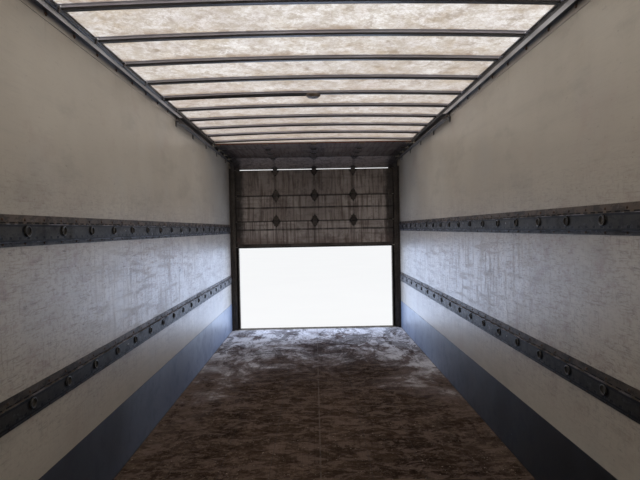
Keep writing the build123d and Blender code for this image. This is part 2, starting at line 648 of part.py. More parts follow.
def hinge_points():
    """Roller centres at the panels' ends, one panel pitch apart in a straight line."""
    places = [DOOR_BOTTOM]
    for _ in range(PANEL_COUNT):
        start = track_point(places[-1])
        near, far = places[-1], places[-1] + 1.5 * PANEL_PITCH
        for _ in range(50):
            middle = (near + far) / 2
            if math.dist(start, track_point(middle)) < PANEL_PITCH:
                near = middle
            else:
                far = middle
        places.append(middle)
    return [track_point(s) for s in places]


pins = hinge_points()


def panel_plane(index, x):
    """Plane across panel index at x: x_dir up the panel from its lower pin, y_dir inward."""
    (y0, z0), (y1, z1) = pins[index], pins[index + 1]
    return Plane(origin=(x, y0, z0), x_dir=(0, y1 - y0, z1 - z0), z_dir=(1, 0, 0))


# Door panels, numbered from the bottom, with lapped joints that keep light and water out
inner_face = -PIN_OFFSET
middle_face = inner_face - PANEL_THICKNESS / 2
outer_face = inner_face - PANEL_THICKNESS
panel_top = PANEL_PITCH - PANEL_GAP / 2
for index in range(PANEL_COUNT):
    lap = PANEL_LAP if index else 0
    with BuildPart() as door_panel:
        with BuildSketch(panel_plane(index, -DOOR_HALF)):
            patch(PANEL_GAP / 2, panel_top, middle_face, inner_face)
            patch(PANEL_GAP / 2 - lap, panel_top - PANEL_LAP, outer_face, middle_face)
        extrude(amount=2 * DOOR_HALF)
    save(door_panel.part, f"door_panel_{index + 1}")

# Channel round the bottom edge of the door
with BuildPart() as bottom_channel:
    with BuildSketch(panel_plane(0, -OPENING_HALF)):
        edge = PANEL_GAP / 2
        low = edge - BOTTOM_RAIL_THICKNESS
        high = edge + BOTTOM_RAIL_LEG
        patch(low, edge, outer_face - BOTTOM_RAIL_THICKNESS, inner_face + BOTTOM_RAIL_THICKNESS)
        patch(low, high, inner_face, inner_face + BOTTOM_RAIL_THICKNESS)
        patch(low, high, outer_face - BOTTOM_RAIL_THICKNESS, outer_face)
    extrude(amount=2 * OPENING_HALF)
save(bottom_channel.part, "door_bottom_channel")


def leaf(away):
    """Side view of a hinge leaf from its pin, up the panel (away = 1) or down it (away = -1)."""
    with BuildSketch() as section:
        with BuildLine():
            Polyline(
                (away * PANEL_GAP, inner_face),
                (away * HINGE_LEAF, inner_face),
                (away * HINGE_LEAF, inner_face + HINGE_THICKNESS),
                (away * PIN_OFFSET, inner_face + HINGE_THICKNESS),
                (away * KNUCKLE_RADIUS / 2, KNUCKLE_RADIUS / 2),
                (0, 0),
                close=True,
            )
        make_face()
    return section.sketch


# Hinges across each joint, and roller brackets at the door's top end
end_hinge = DOOR_HALF - END_HINGE_FROM_EDGE
hinge_columns = (
    # x of the middle, width
    (-end_hinge, END_HINGE_WIDTH),
    (-HINGE_SPACING, HINGE_WIDTH),
    (0, HINGE_WIDTH),
    (HINGE_SPACING, HINGE_WIDTH),
    (end_hinge, END_HINGE_WIDTH),
)
panel_angles = [math.degrees(math.atan2(z1 - z0, y1 - y0)) for (y0, z0), (y1, z1) in zip(pins, pins[1:])]
with BuildPart() as door_hinges:
    for x, width in hinge_columns:
        with BuildSketch(Plane.YZ.offset(x - width / 2)):
            for joint in range(1, PANEL_COUNT + 1):
                with Locations(pins[joint]):
                    RegularPolygon(KNUCKLE_RADIUS, KNUCKLE_SIDES)
                with Locations(Location(pins[joint], panel_angles[joint - 1])):
                    add(leaf(-1))
            for joint in range(1, PANEL_COUNT):
                with Locations(Location(pins[joint], panel_angles[joint])):
                    add(leaf(1))
        extrude(amount=width)
save(door_hinges.part, "door_hinges")

# Rollers on their stems
stem_start = end_hinge + END_HINGE_WIDTH / 2
roller_start = DOOR_HALF + ROLLER_FROM_EDGE
with BuildPart() as door_rollers:
    for side in (1, -1):
        with BuildSketch(Plane.YZ.offset(side * stem_start)):
            with Locations(*pins):
                RegularPolygon(STEM_RADIUS, STEM_SIDES)
        extrude(amount=side * (roller_start - stem_start))
        with BuildSketch(Plane.YZ.offset(side * roller_start)):
            with Locations(*pins):
                RegularPolygon(ROLLER_RADIUS, ROLLER_SIDES)
        extrude(amount=side * ROLLER_WIDTH)
save(door_rollers.part, "door_rollers")


def track_band(half):
    """Side view of the track: a band of this half width along the rollers' path."""
    foot = FLOOR_TOP + TRACK_FOOT
    with BuildSketch() as band:
        with BuildLine():
            Polyline(
                (TRACK_Y + half, BEND_Z),
                (TRACK_Y + half, foot),
                (TRACK_Y - half, foot),
                (TRACK_Y - half, BEND_Z),
            )
            CenterArc((BEND_Y, BEND_Z), TRACK_BEND - half, 0, 90)
            Polyline(
                (BEND_Y, TRACK_Z - half),
                (TRACK_END, TRACK_Z - half),
                (TRACK_END, TRACK_Z + half),
                (BEND_Y, TRACK_Z + half),
            )
            CenterArc((BEND_Y, BEND_Z), TRACK_BEND + half, 0, 90)
        make_face()
    return band.sketch


# Door track: a channel open towards the door, up the post and forward under the roof
with BuildPart() as door_track:
    with BuildSketch(Plane.YZ.offset(POST_WEB)):
        add(track_band(TRACK_OUTER_HALF))
    extrude(amount=-TRACK_DEPTH)
    with BuildSketch(Plane.YZ.offset(TRACK_WEB)):
        add(track_band(TRACK_HALF))
    extrude(amount=-TRACK_DEPTH, mode=Mode.SUBTRACT)
save_pair(door_track.part, "door_track")

# Track hangers: bent straps from the track's web out to the wall
hanger_places = [TRACK_END + HANGER_WIDTH / 2 + HANGER_PITCH * k for k in range(HANGER_COUNT)]
with BuildPart() as track_hangers:
    for side in (1, -1):
        for y in hanger_places:
            with BuildSketch(across(y + HANGER_WIDTH / 2)):
                web = (POST_WEB, POST_WEB + HANGER_THICKNESS)
                wall = (INNER_HALF - HANGER_THICKNESS, INNER_HALF)
                low = TRACK_Z - HANGER_LEG
                for x0, x1, z0, z1 in (
                    (*web, TRACK_Z - HANGER_THICKNESS, TRACK_Z + TRACK_HALF),
                    (web[0], wall[1], TRACK_Z - HANGER_THICKNESS, TRACK_Z),
                    (*wall, low, TRACK_Z),
                ):
                    patch(min(side * x0, side * x1), max(side * x0, side * x1), z0, z1)
            extrude(amount=HANGER_WIDTH)
save(track_hangers.part, "track_hangers")

# Counterbalance: shaft, two torsion springs and two cable drums, keyed together
drum_start = CABLE_X + CABLE_RADIUS - DRUM_WIDTH
spring_end = drum_start - SPRING_TO_DRUM
turned_lengths = (
    # from x, to x, radius
    (0, drum_start + DRUM_WIDTH, SHAFT_RADIUS),
    (SPRING_START, spring_end, SPRING_RADIUS),
    (drum_start, drum_start + DRUM_WIDTH, DRUM_RADIUS),
    (drum_start, drum_start + RAIL_THICKNESS, DRUM_RIM),
)
with BuildPart() as counterbalance:
    for start, end, radius in turned_lengths:
        for side in (1, -1):
            with BuildSketch(Plane.YZ.offset(side * start)):
                with Locations((SHAFT_Y, SHAFT_Z)):
                    RegularPolygon(radius, SHAFT_SIDES)
            extrude(amount=side * (end - start))
save(counterbalance.part, "counterbalance")

# Shaft brackets on the inside of the header
bracket_places = [0, spring_end + SPRING_TO_BRACKET]
with BuildPart() as shaft_brackets:
    for x in (-bracket_places[1], *bracket_places):
        with BuildSketch(Plane.YZ.offset(x - BRACKET_THICKNESS / 2)):
            patch(
                SHAFT_Y,
                REAR_Y - RAIL_THICKNESS,
                SHAFT_Z - BRACKET_HEIGHT / 2,
                SHAFT_Z + BRACKET_HEIGHT / 2,
            )
            with Locations((SHAFT_Y, SHAFT_Z)):
                RegularPolygon(BRACKET_HEIGHT / 2, SHAFT_SIDES)
                RegularPolygon(SHAFT_RADIUS + BRACKET_CLEARANCE, SHAFT_SIDES, mode=Mode.SUBTRACT)
        extrude(amount=BRACKET_THICKNESS)
save(shaft_brackets.part, "shaft_brackets")

# Lift cables from the drums to lugs on the bottom panel
lug_z = FLOOR_TOP + DOOR_BOTTOM + CABLE_LUG_ABOVE_BOTTOM
with BuildPart() as lift_cables:
    with BuildSketch(Plane.XY.offset(lug_z + CABLE_LUG_SIZE)):
        with Locations((CABLE_X, CABLE_Y), (-CABLE_X, CABLE_Y)):
            RegularPolygon(CABLE_RADIUS, CABLE_SIDES)
    extrude(amount=SHAFT_Z - lug_z - CABLE_LUG_SIZE)
save(lift_cables.part, "lift_cables")

# Cable lugs: angle blocks on the inner face of the bottom panel
with BuildPart() as cable_lugs:
    for side in (1, -1):
        with BuildSketch(Plane.XY.offset(lug_z)):
            edges = sorted((side * (DOOR_HALF - CABLE_LUG_SIZE), side * DOOR_HALF))
            patch(edges[0], edges[1], CABLE_Y - CABLE_RADIUS, DOOR_Y)
            edges = sorted((side * (DOOR_HALF - CABLE_LUG_SIZE), side * (CABLE_X + CABLE_RADIUS)))
            patch(edges[0], edges[1], CABLE_Y - 2 * CABLE_RADIUS, CABLE_Y + 2 * CABLE_RADIUS)
        extrude(amount=CABLE_LUG_SIZE)
save(cable_lugs.part, "cable_lugs")

# Door latch: plate and lever on the outside of the bottom panel
latch_z = FLOOR_TOP + DOOR_BOTTOM + LATCH_ABOVE_BOTTOM
latch_y = DOOR_Y + PANEL_THICKNESS
with BuildPart() as door_latch:
    with BuildSketch(across(latch_y + LATCH_PLATE)):
        with Locations((0, latch_z)):
            RectangleRounded(LATCH_WIDTH, LATCH_HEIGHT, LATCH_HEIGHT / 8)
    extrude(amount=LATCH_PLATE)
    with BuildSketch(across(latch_y + LATCH_PLATE + LATCH_LEVER_DEPTH)):
        with Locations((0, latch_z)):
            Rectangle(LATCH_LEVER_LENGTH, LATCH_LEVER_WIDTH)
    extrude(amount=LATCH_LEVER_DEPTH)
save(door_latch.part, "door_latch")

# Marker lamps: (x, y, z, along which axis it is long) for amber and red lamps
header_middle = (OPENING_TOP + RAIL_TOP) / 2
rail_middle = (RAIL_BOTTOM + WALL_TOP) / 2
low_middle = (FLOOR_TOP + BOTTOM_RAIL_TOP) / 2
corner_lamp = OUTER_HALF - MARKER_FROM_CORNER
front_lamps = [-corner_lamp, -MARKER_SPACING, 0, MARKER_SPACING, corner_lamp]
with BuildPart() as amber_markers:
    with BuildSketch(across(FRONT_Y)):
        with Locations(*[(x, rail_middle) for x in front_lamps]):
            Rectangle(MARKER_LENGTH, MARKER_HEIGHT)
    extrude(amount=FRONT_MARKER_DEPTH)
    for side in (1, -1):
        with BuildSketch(Plane.YZ.offset(side * OUTER_HALF)):
            with Locations((CORNER_END + MARKER_FROM_CORNER, low_middle), (0, low_middle)):
                Rectangle(MARKER_LENGTH, MARKER_HEIGHT)
        extrude(amount=side * SIDE_MARKER_DEPTH)
save(amber_markers.part, "marker_lamps_amber")

with BuildPart() as red_markers:
    with BuildSketch(across(REAR_Y)):
        with Locations(*[(x, header_middle) for x in front_lamps]):
            Rectangle(MARKER_LENGTH, MARKER_HEIGHT)
    extrude(amount=-TAIL_DEPTH)
    for side in (1, -1):
        with BuildSketch(Plane.YZ.offset(side * OUTER_HALF)):
            with Locations((FRAME_FRONT - MARKER_FROM_CORNER, low_middle)):
                Rectangle(MARKER_LENGTH, MARKER_HEIGHT)
        extrude(amount=side * SIDE_MARKER_DEPTH)
save(red_markers.part, "marker_lamps_red")

# Tail lamps on the face of the rear sill
tail_z = (LONGSILL_HEIGHT + FLOOR_TOP) / 2
tail_x = [side * (OUTER_HALF - inset) for side in (1, -1) for inset in TAIL_FROM_SIDE]
with BuildPart() as tail_lamps:
    with BuildSketch(across(REAR_Y)):
        with Locations(*[(x, tail_z) for x in tail_x]):
            Rectangle(TAIL_LENGTH, TAIL_HEIGHT)
    extrude(amount=-TAIL_DEPTH)
save(tail_lamps.part, "tail_lamps")
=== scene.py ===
import math
import random

import bmesh
import bpy
from mathutils import Matrix, Quaternion, Vector


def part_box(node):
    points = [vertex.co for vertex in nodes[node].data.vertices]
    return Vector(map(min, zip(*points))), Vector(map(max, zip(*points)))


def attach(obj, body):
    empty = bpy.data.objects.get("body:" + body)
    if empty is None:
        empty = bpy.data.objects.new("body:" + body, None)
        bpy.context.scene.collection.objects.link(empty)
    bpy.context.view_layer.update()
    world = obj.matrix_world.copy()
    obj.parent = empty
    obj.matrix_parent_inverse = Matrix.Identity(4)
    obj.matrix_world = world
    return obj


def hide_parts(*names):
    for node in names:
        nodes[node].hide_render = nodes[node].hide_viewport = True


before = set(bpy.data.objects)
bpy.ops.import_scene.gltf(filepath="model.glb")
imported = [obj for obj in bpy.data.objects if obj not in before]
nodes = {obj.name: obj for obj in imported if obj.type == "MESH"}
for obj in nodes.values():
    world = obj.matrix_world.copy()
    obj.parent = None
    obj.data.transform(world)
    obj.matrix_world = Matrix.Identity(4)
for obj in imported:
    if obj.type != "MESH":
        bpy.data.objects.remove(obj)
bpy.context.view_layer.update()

# Looks of a cargo body with its roll-up door half open.
# Metres: +X is the vehicle's left, +Y its rear, +Z up.

dice = random.Random(7)

# Camera: inside the load space, close to the front wall, looking at the door
CAMERA_PLACE = (-0.010, -3.4895, 1.714)
CAMERA_YAW = math.radians(0.6)
CAMERA_PITCH = math.radians(-1.26)
CAMERA_ROLL = math.radians(1.1)
CAMERA_LENS = 28.97
SENSOR_WIDTH = 36.0
CLIP_START = 0.02
CLIP_END = 300.0

# Body: the rear frame begins at FRAME_FRONT, where the floor ends
INNER_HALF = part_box("side_wall_left")[0].x
OUTER_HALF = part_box("bottom_rail_left")[1].x
FLOOR_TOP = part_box("floor_boards")[1].z
FRAME_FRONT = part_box("floor_boards")[1].y
FRONT_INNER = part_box("front_wall")[1].y
REAR_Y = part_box("rear_header")[1].y
SCUFF_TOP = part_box("scuff_plate_left")[1].z

# Roof: BOW_END is the underside of the bows where they meet the side rails
BOW_HEIGHT = 0.025
BOW_PITCH = 0.4064
FIRST_BOW = FRONT_INNER + 0.4165
BOW_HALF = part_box("roof_bows")[1].x
BOW_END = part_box("roof_bows")[0].z
ROOF_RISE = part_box("roof_bows")[1].z - BOW_END - BOW_HEIGHT
CROWN_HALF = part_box("front_top_rail")[1].x
RAIL_LEG = 0.038
RAIL_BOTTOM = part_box("inner_roof_rail_left")[0].z + RAIL_LEG
RAIL_FACE = INNER_HALF - 0.003
RAIL_BOLT_DROP = 0.011
RAIL_BOLT_PITCH = 0.274
FIRST_RAIL_BOLT = FRONT_INNER + 0.0525

# Lashing tracks: heights are above the foot of each row
track_low, track_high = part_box("lashing_tracks_left")
ROW_HEIGHT = 0.128
ROW_LOWS = (track_low.z, track_high.z - ROW_HEIGHT)
LOWER_FLANGE = 0.021
WEB_TOP = 0.089
TRACK_FACE = track_low.x
FLANGE_FACE = INNER_HALF - 0.0025
TRACK_BOLT_PITCH = 0.1524
BOLT_WANDER = 0.002
UPPER_BOLTS = 0.109
LOWER_BOLTS = 0.010
SLOT_PITCH = 0.061
RING_PITCH = 0.3048
FIRST_RING = FRONT_INNER + 0.136
RING_HEIGHT = 0.061
RING_RADIUS = 0.023
RING_BAR = 0.003
RINGS_PER_SCREW = 5
SCREW_FROM_RING = 0.55 * RING_PITCH

# Floor
BOARD_COUNT = 8
BOARD_GAP = 0.002
STRIP_WIDTH = 0.0375
STRIP_LENGTH = 1.3
BOARD_END_PITCH = 1.22
FIRST_BOARD_END = -0.62
SEAM_OVERLAP = 0.0002
SEAM_BELOW_FLOOR = 0.0008
SEAM_FOOT = 0.030  # below the floor

# Door
PANEL_COUNT = 7
LEVEL_PANEL = 5  # from this one on the panels hang level under the roof
PANEL_HALF = 0.18
GRIME_LINES = {1: 0.062, 2: 0.012}  # panel: height of the line above its middle
HINGE_SPACING = 0.55
END_HINGE = 1.075
HINGE_COLUMNS = (-HINGE_SPACING, 0.0, HINGE_SPACING, -END_HINGE, END_HINGE)
HINGE_LEAF = 0.042  # from the panel's edge to the middle of a hinge leaf
LEAF_FACE = 0.0141  # from the panel's middle plane
LEAF_BOLT_STEP = 0.016
DOOR_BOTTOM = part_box("door_bottom_channel")[0].z
SEAL_RADIUS = 0.009
SEAL_DROP = 0.004
SEAL_INSET = 0.002
LATCH_PLATE = 0.004
LATCH_BOLT_INSET = 0.016
LATCH_PIN = (0.05, 0.065)  # place across and up the plate
LATCH_PIN_RADIUS = 0.007
LATCH_PIN_LENGTH = 0.001

# Radius and height of the heads
RAIL_BOLT = (0.0105, 0.008)
UPPER_TRACK_BOLT = (0.0065, 0.004)
LOWER_TRACK_BOLT = (0.0055, 0.0035)
TRACK_SCREW = (0.005, 0.003)
BOW_RIVET = (0.0042, 0.0022)
HINGE_BOLT = (0.0055, 0.0035)
LATCH_BOLT = (0.006, 0.004)
PANEL_RIVET = (0.005, 0.0022)
FRAME_RIVET = (0.007, 0.004)

# Rivets outside
RIVET_PITCH = 0.1016
SILL_RIVET_DROP = 0.018
RAIL_RIVET_RISE = 0.014
FRONT_RIVET_RISE = 0.012
FRONT_RIVET_END = 1.1
CORNER_RIVET_INSET = 0.025
CORNER_RIVET_BACK = 0.085
POST_RIVET_INSET = 0.03
POST_RIVET_FORE = 0.06

# Tabs at the bow ends, wires along the roof rail and the dome lamp's rim
TAB_THICKNESS = 0.0015
TAB_HALF = 0.021
TAB_BELOW = 0.010
TAB_ABOVE = 0.012
TAB_RIVET_STEP = 0.013
TAB_RIVET_RISE = 0.001
WIRE_RADIUS = 0.0055
WIRE_RUNS = ((0.016, 0.0), (0.005, 1.7))  # height above the bow's end, phase of the sag
WIRE_SAG = 0.0035
WIRE_WANDER = 0.002
WIRE_POINTS_PER_BAY = 6
LAMP_WIRE_SPANS = 12
LAMP_WIRE_OVERLAP = 0.01
WIRE_BELOW_SKIN = 0.0005
CLIP_HALF = 0.006
CLIP_PAST_WIRE = 0.002
CLIP_BELOW = 0.004
CLIP_ABOVE = 0.023
RIM_BAR = 0.003
RIM_DROP = 0.006

# Soft lamps: name, place, aim, size, watts, colour
LAMPS = (
    ("lamp_overhead", (0, -1.6, 7.0), (0, -1.6, 0), (8.0, 12.0), 400.0, (1.0, 0.99, 0.99)),
    ("lamp_roof_glow", (0, -0.2, BOW_END - 0.003), (0, -0.2, 0), (2.1, 7.2), 14.0, (1.0, 0.955, 0.90)),
    ("lamp_rear_fill", (-0.1, 1.9, 2.15), (-INNER_HALF, 1.9, 2.15), (2.6, 0.8), 3.0, (1.0, 0.93, 0.86)),
    ("lamp_rear_fill", (0.1, 1.9, 2.15), (INNER_HALF, 1.9, 2.15), (2.6, 0.8), 3.0, (1.0, 0.93, 0.86)),
    ("lamp_front_fill", (0, FRONT_INNER + 0.3, 2.3), (0, 2.5, 2.6), (2.0, 0.5), 6.0, (1.0, 0.97, 0.97)),
    ("lamp_doorway", (0, FRAME_FRONT - 0.005, 0.9), (0, 0, 0.9), (2.1, 1.1), 25.0, (0.55, 0.69, 1.0)),
)
SKY_COLOUR = (0.90, 0.95, 1.0, 1.0)
SKY_STRENGTH = 0.85
WHITE = (1.0, 1.0, 1.0, 1.0)
STAGE_RADIUS = 60.0
STAGE_GLOW = 0.75  # share of plain white that the camera sees in the floor


def rgb(red, green, blue):
    """Linear colour from display values of 0 to 255."""
    def linear(v):
        v /= 255
        return v / 12.92 if v <= 0.04045 else ((v + 0.055) / 1.055) ** 2.4
    return (linear(red), linear(green), linear(blue), 1.0)


class Paint:
    """A material built step by step: masks are sockets, and the colour builds up coat by coat.

    Tints are display values of 0 to 255. Masks go from 0 to 1.
    """

    def __init__(self, name, rough, metal=0.0, gloss=0.5):
        self.material = bpy.data.materials.new(name)
        self.material.use_nodes = True
        self.tree = self.material.node_tree
        self.shader = self.tree.nodes["Principled BSDF"]
        self.output = self.tree.nodes["Material Output"]
        self.shader.inputs["Roughness"].default_value = rough
        self.shader.inputs["Metallic"].default_value = metal
        self.shader.inputs["Specular IOR Level"].default_value = gloss
        self.place = self.node("ShaderNodeTexCoord").outputs["Object"]
        parts = self.node("ShaderNodeSeparateXYZ", {0: self.place})
        self.x, self.y, self.z = parts.outputs
        self.side = self.calc("ABSOLUTE", self.x)
        self.colour = WHITE

    def node(self, kind, inputs=None, **settings):
        made = self.tree.nodes.new(kind)
        for key, value in settings.items():
            setattr(made, key, value)
        for key, value in (inputs or {}).items():
            self.feed(made.inputs[key], value)
        return made

    def feed(self, socket, value):
        if isinstance(value, bpy.types.NodeSocket):
            self.tree.links.new(value, socket)
        else:
            socket.default_value = value

    def calc(self, operation, *values):
        made = self.node("ShaderNodeMath", dict(enumerate(values)), operation=operation)
        return made.outputs[0]

    def plus(self, first, second):
        return self.calc("ADD", first, second)

    def minus(self, first, second):
        return self.calc("SUBTRACT", first, second)

    def times(self, first, *others):
        for other in others:
            first = self.calc("MULTIPLY", first, other)
        return first

    def most(self, first, *others):
        for other in others:
            first = self.calc("MAXIMUM", first, other)
        return first

    def band(self, value, start, end):
        """0 at start, 1 at end, smooth between."""
        made = self.node(
            "ShaderNodeMapRange",
            {"Value": value, "From Min": start, "From Max": end},
            interpolation_type="SMOOTHSTEP",
        )
        return made.outputs[0]

    def near(self, value, centre, half, soft):
        """1 within half of centre, falling to 0 over soft."""
        away = self.calc("ABSOLUTE", self.minus(value, centre))
        return self.band(away, half + soft, half)

    def from_repeat(self, value, first, pitch):
        """Distance to the nearest of the places first, first + pitch and so on."""
        return self.calc("PINGPONG", self.minus(value, first), pitch / 2)

    def ramp(self, mask, low, high):
        """Number from low to high as the mask goes from 0 to 1."""
        made = self.node("ShaderNodeMapRange", {"Value": mask, "To Min": low, "To Max": high})
        return made.outputs[0]

    def noise(
        self, scale, detail, rough, cut=None, stretch=(1, 1, 1), shift=(0, 0, 0), turn=(0, 0, 0), twist=0.0
    ):
        """Cloudy noise; cut makes a mask of it, 0 at its first level and 1 at its second."""
        where = self.node(
            "ShaderNodeMapping",
            {"Vector": self.place, "Location": shift, "Rotation": turn, "Scale": stretch},
        ).outputs[0]
        made = self.node(
            "ShaderNodeTexNoise",
            {"Vector": where, "Scale": scale, "Detail": detail, "Roughness": rough, "Distortion": twist},
        )
        if cut is None:
            return made.outputs[0]
        return self.band(made.outputs[0], *cut)

    def cells(self, scale):
        """Distance to the middle of the nearest cell."""
        made = self.node("ShaderNodeTexVoronoi", {"Vector": self.place, "Scale": scale}, feature="F1")
        return made.outputs["Distance"]

    def blend(self, factor, low, high):
        made = self.node("ShaderNodeMix", data_type="RGBA", blend_type="MIX", clamp_factor=True)
        self.feed(made.inputs[0], factor)
        self.feed(made.inputs[6], low)
        self.feed(made.inputs[7], high)
        return made.outputs[2]

    def between(self, mask, low_tint, high_tint):
        return self.blend(mask, rgb(*low_tint), rgb(*high_tint))

    def over(self, colour, mask, tint, strength=None):
        """Lay a tint over the colour where the mask is."""
        if strength is not None:
            mask = self.times(mask, strength)
        return self.blend(mask, colour, rgb(*tint))

    def coat(self, mask, tint, strength=None):
        """Lay a tint over the paint's own colour."""
        self.colour = self.over(self.colour, mask, tint, strength)

    def bump(self, height, depth, under=None):
        inputs = {"Height": height, "Strength": 1.0, "Distance": depth}
        if under is not None:
            inputs["Normal"] = under
        return self.node("ShaderNodeBump", inputs).outputs[0]

    def finish(self, rough=None, normal=None):
        self.feed(self.shader.inputs["Base Color"], self.colour)
        if rough is not None:
            self.feed(self.shader.inputs["Roughness"], rough)
        if normal is not None:
            self.feed(self.shader.inputs["Normal"], normal)
        return self.material

    def mix_shader(self, share, other):
        """Mix another shader node over the main one at the output."""
        both = self.node("ShaderNodeMixShader", {0: share, 1: self.shader.outputs[0], 2: other.outputs[0]})
        self.tree.links.new(both.outputs[0], self.output.inputs["Surface"])


def wall_paint(name, front=False):
    """Smooth glass-fibre faced panel: stained and scuffed inside, cleaner outside."""
    p = Paint(name, rough=0.4)
    if front:
        outside = p.band(p.y, FRONT_INNER - 0.004, FRONT_INNER - 0.008)
    else:
        outside = p.band(p.side, INNER_HALF + 0.004, INNER_HALF + 0.008)
    p.colour = p.between(p.noise(0.8, 4, 0.6, cut=(0.35, 0.68)), (170, 162, 149), (184, 177, 164))
    cool = p.noise(2.2, 3, 0.5, shift=(3, 1, 7), cut=(0.5, 0.72))
    p.coat(cool, (168, 167, 164), 0.25)
    rosy = p.noise(3.1, 5, 0.6, shift=(9, 4, 2), cut=(0.56, 0.72))
    p.coat(rosy, (164, 146, 134), 0.4)
    clouds = p.noise(4.5, 5, 0.62, stretch=(1, 0.45, 1), shift=(2, 6, 1), cut=(0.52, 0.7))
    p.coat(clouds, (132, 126, 116), 0.3)
    wiped = p.noise(11, 4, 0.6, stretch=(1, 0.07, 1), cut=(0.5, 0.78))
    p.coat(wiped, (138, 131, 121), 0.22)

    # Marks where the load rubs, in a zone between the scuff plate and shoulder height
    handled = p.times(
        p.band(p.z, FLOOR_TOP + 1.85, FLOOR_TOP + 1.3),
        p.band(p.z, FLOOR_TOP + 0.3, FLOOR_TOP + 0.8),
    )
    busy = p.times(handled, p.noise(1.7, 4, 0.6, shift=(5, 5, 5), cut=(0.3, 0.52)))
    grit = p.noise(30, 5, 0.75, stretch=(1, 1, 1.7), shift=(3, 8, 3), cut=(0.49, 0.62))
    p.coat(p.times(grit, busy), (116, 102, 96), 0.4)
    stains = p.noise(9, 5, 0.7, stretch=(1, 0.7, 1.4), shift=(7, 1, 4), cut=(0.5, 0.64))
    p.coat(p.times(stains, busy), (138, 112, 102), 0.35)
    level_marks = p.noise(9, 4, 0.75, stretch=(1, 1, 11), shift=(1, 2, 3), cut=(0.57, 0.64))
    upright_marks = p.noise(11, 4, 0.7, stretch=(1, 8, 1), shift=(4, 2, 8), cut=(0.60, 0.67))
    slanted_marks = p.noise(8, 3, 0.7, stretch=(1, 10, 1), turn=(0.9, 0, 0), cut=(0.63, 0.70))
    marks = p.most(level_marks, p.times(p.most(upright_marks, slanted_marks), 0.8))
    p.coat(p.times(marks, busy), (98, 88, 84), 0.42)
    fine_marks = p.most(
        p.noise(24, 4, 0.7, stretch=(1, 0.5, 6), shift=(7, 2, 3), cut=(0.55, 0.64)),
        p.noise(24, 4, 0.7, stretch=(1, 3, 0.8), shift=(3, 2, 7), cut=(0.6, 0.68)),
    )
    p.coat(fine_marks, (110, 98, 94), p.ramp(busy, 0.08, 0.34))
    flecks = p.noise(36, 3, 0.6, stretch=(1, 0.6, 1.3), shift=(2, 2, 2), cut=(0.66, 0.74))
    p.coat(flecks, (74, 64, 58), p.ramp(busy, 0.2, 0.6))
    scars = p.noise(3.2, 5, 0.8, stretch=(1, 1, 4), shift=(6, 0, 2), cut=(0.66, 0.69))
    p.coat(p.times(handled, scars), (70, 66, 62), 0.6)
    under_bolts = p.times(
        p.band(p.from_repeat(p.y, FIRST_RAIL_BOLT, RAIL_BOLT_PITCH), 0.014, 0.003),
        p.band(p.z, RAIL_BOTTOM - 0.20, RAIL_BOTTOM - RAIL_LEG),
        p.noise(5, 2, 0.5, shift=(8, 8, 8), cut=(0.42, 0.6)),
    )
    p.coat(under_bolts, (104, 84, 66), 0.15)
    hatched = p.most(
        p.noise(26, 4, 0.7, stretch=(1, 1, 0.12), shift=(0, 3, 1), cut=(0.48, 0.62)),
        p.noise(26, 4, 0.7, stretch=(1, 0.12, 1), shift=(0, 1, 3), cut=(0.48, 0.62)),
    )
    by_door = p.times(p.band(p.y, -1.8, 0.2), handled)
    p.coat(p.times(hatched, by_door), (128, 116, 114), 0.3)

    clean = p.between(p.noise(1.3, 3, 0.5, cut=(0.3, 0.7)), (206, 206, 203), (216, 216, 214))
    road = p.times(p.band(p.z, FLOOR_TOP + 0.5, FLOOR_TOP), p.noise(4, 4, 0.6, cut=(0.3, 0.7)))
    clean = p.over(clean, road, (160, 152, 140), 0.45)
    runs = p.noise(8, 4, 0.6, stretch=(1, 1, 0.05), shift=(6, 6, 6), cut=(0.55, 0.8))
    clean = p.over(clean, runs, (150, 148, 142), 0.16)
    p.colour = p.blend(outside, p.colour, clean)
    dulled = p.most(p.times(p.most(marks, fine_marks), busy), p.times(hatched, by_door))
    weave = p.noise(160, 2, 0.5)
    waves = p.noise(2.5, 2, 0.4)
    return p.finish(p.ramp(dulled, 0.37, 0.5), p.bump(waves, 0.0008, p.bump(weave, 0.00012)))


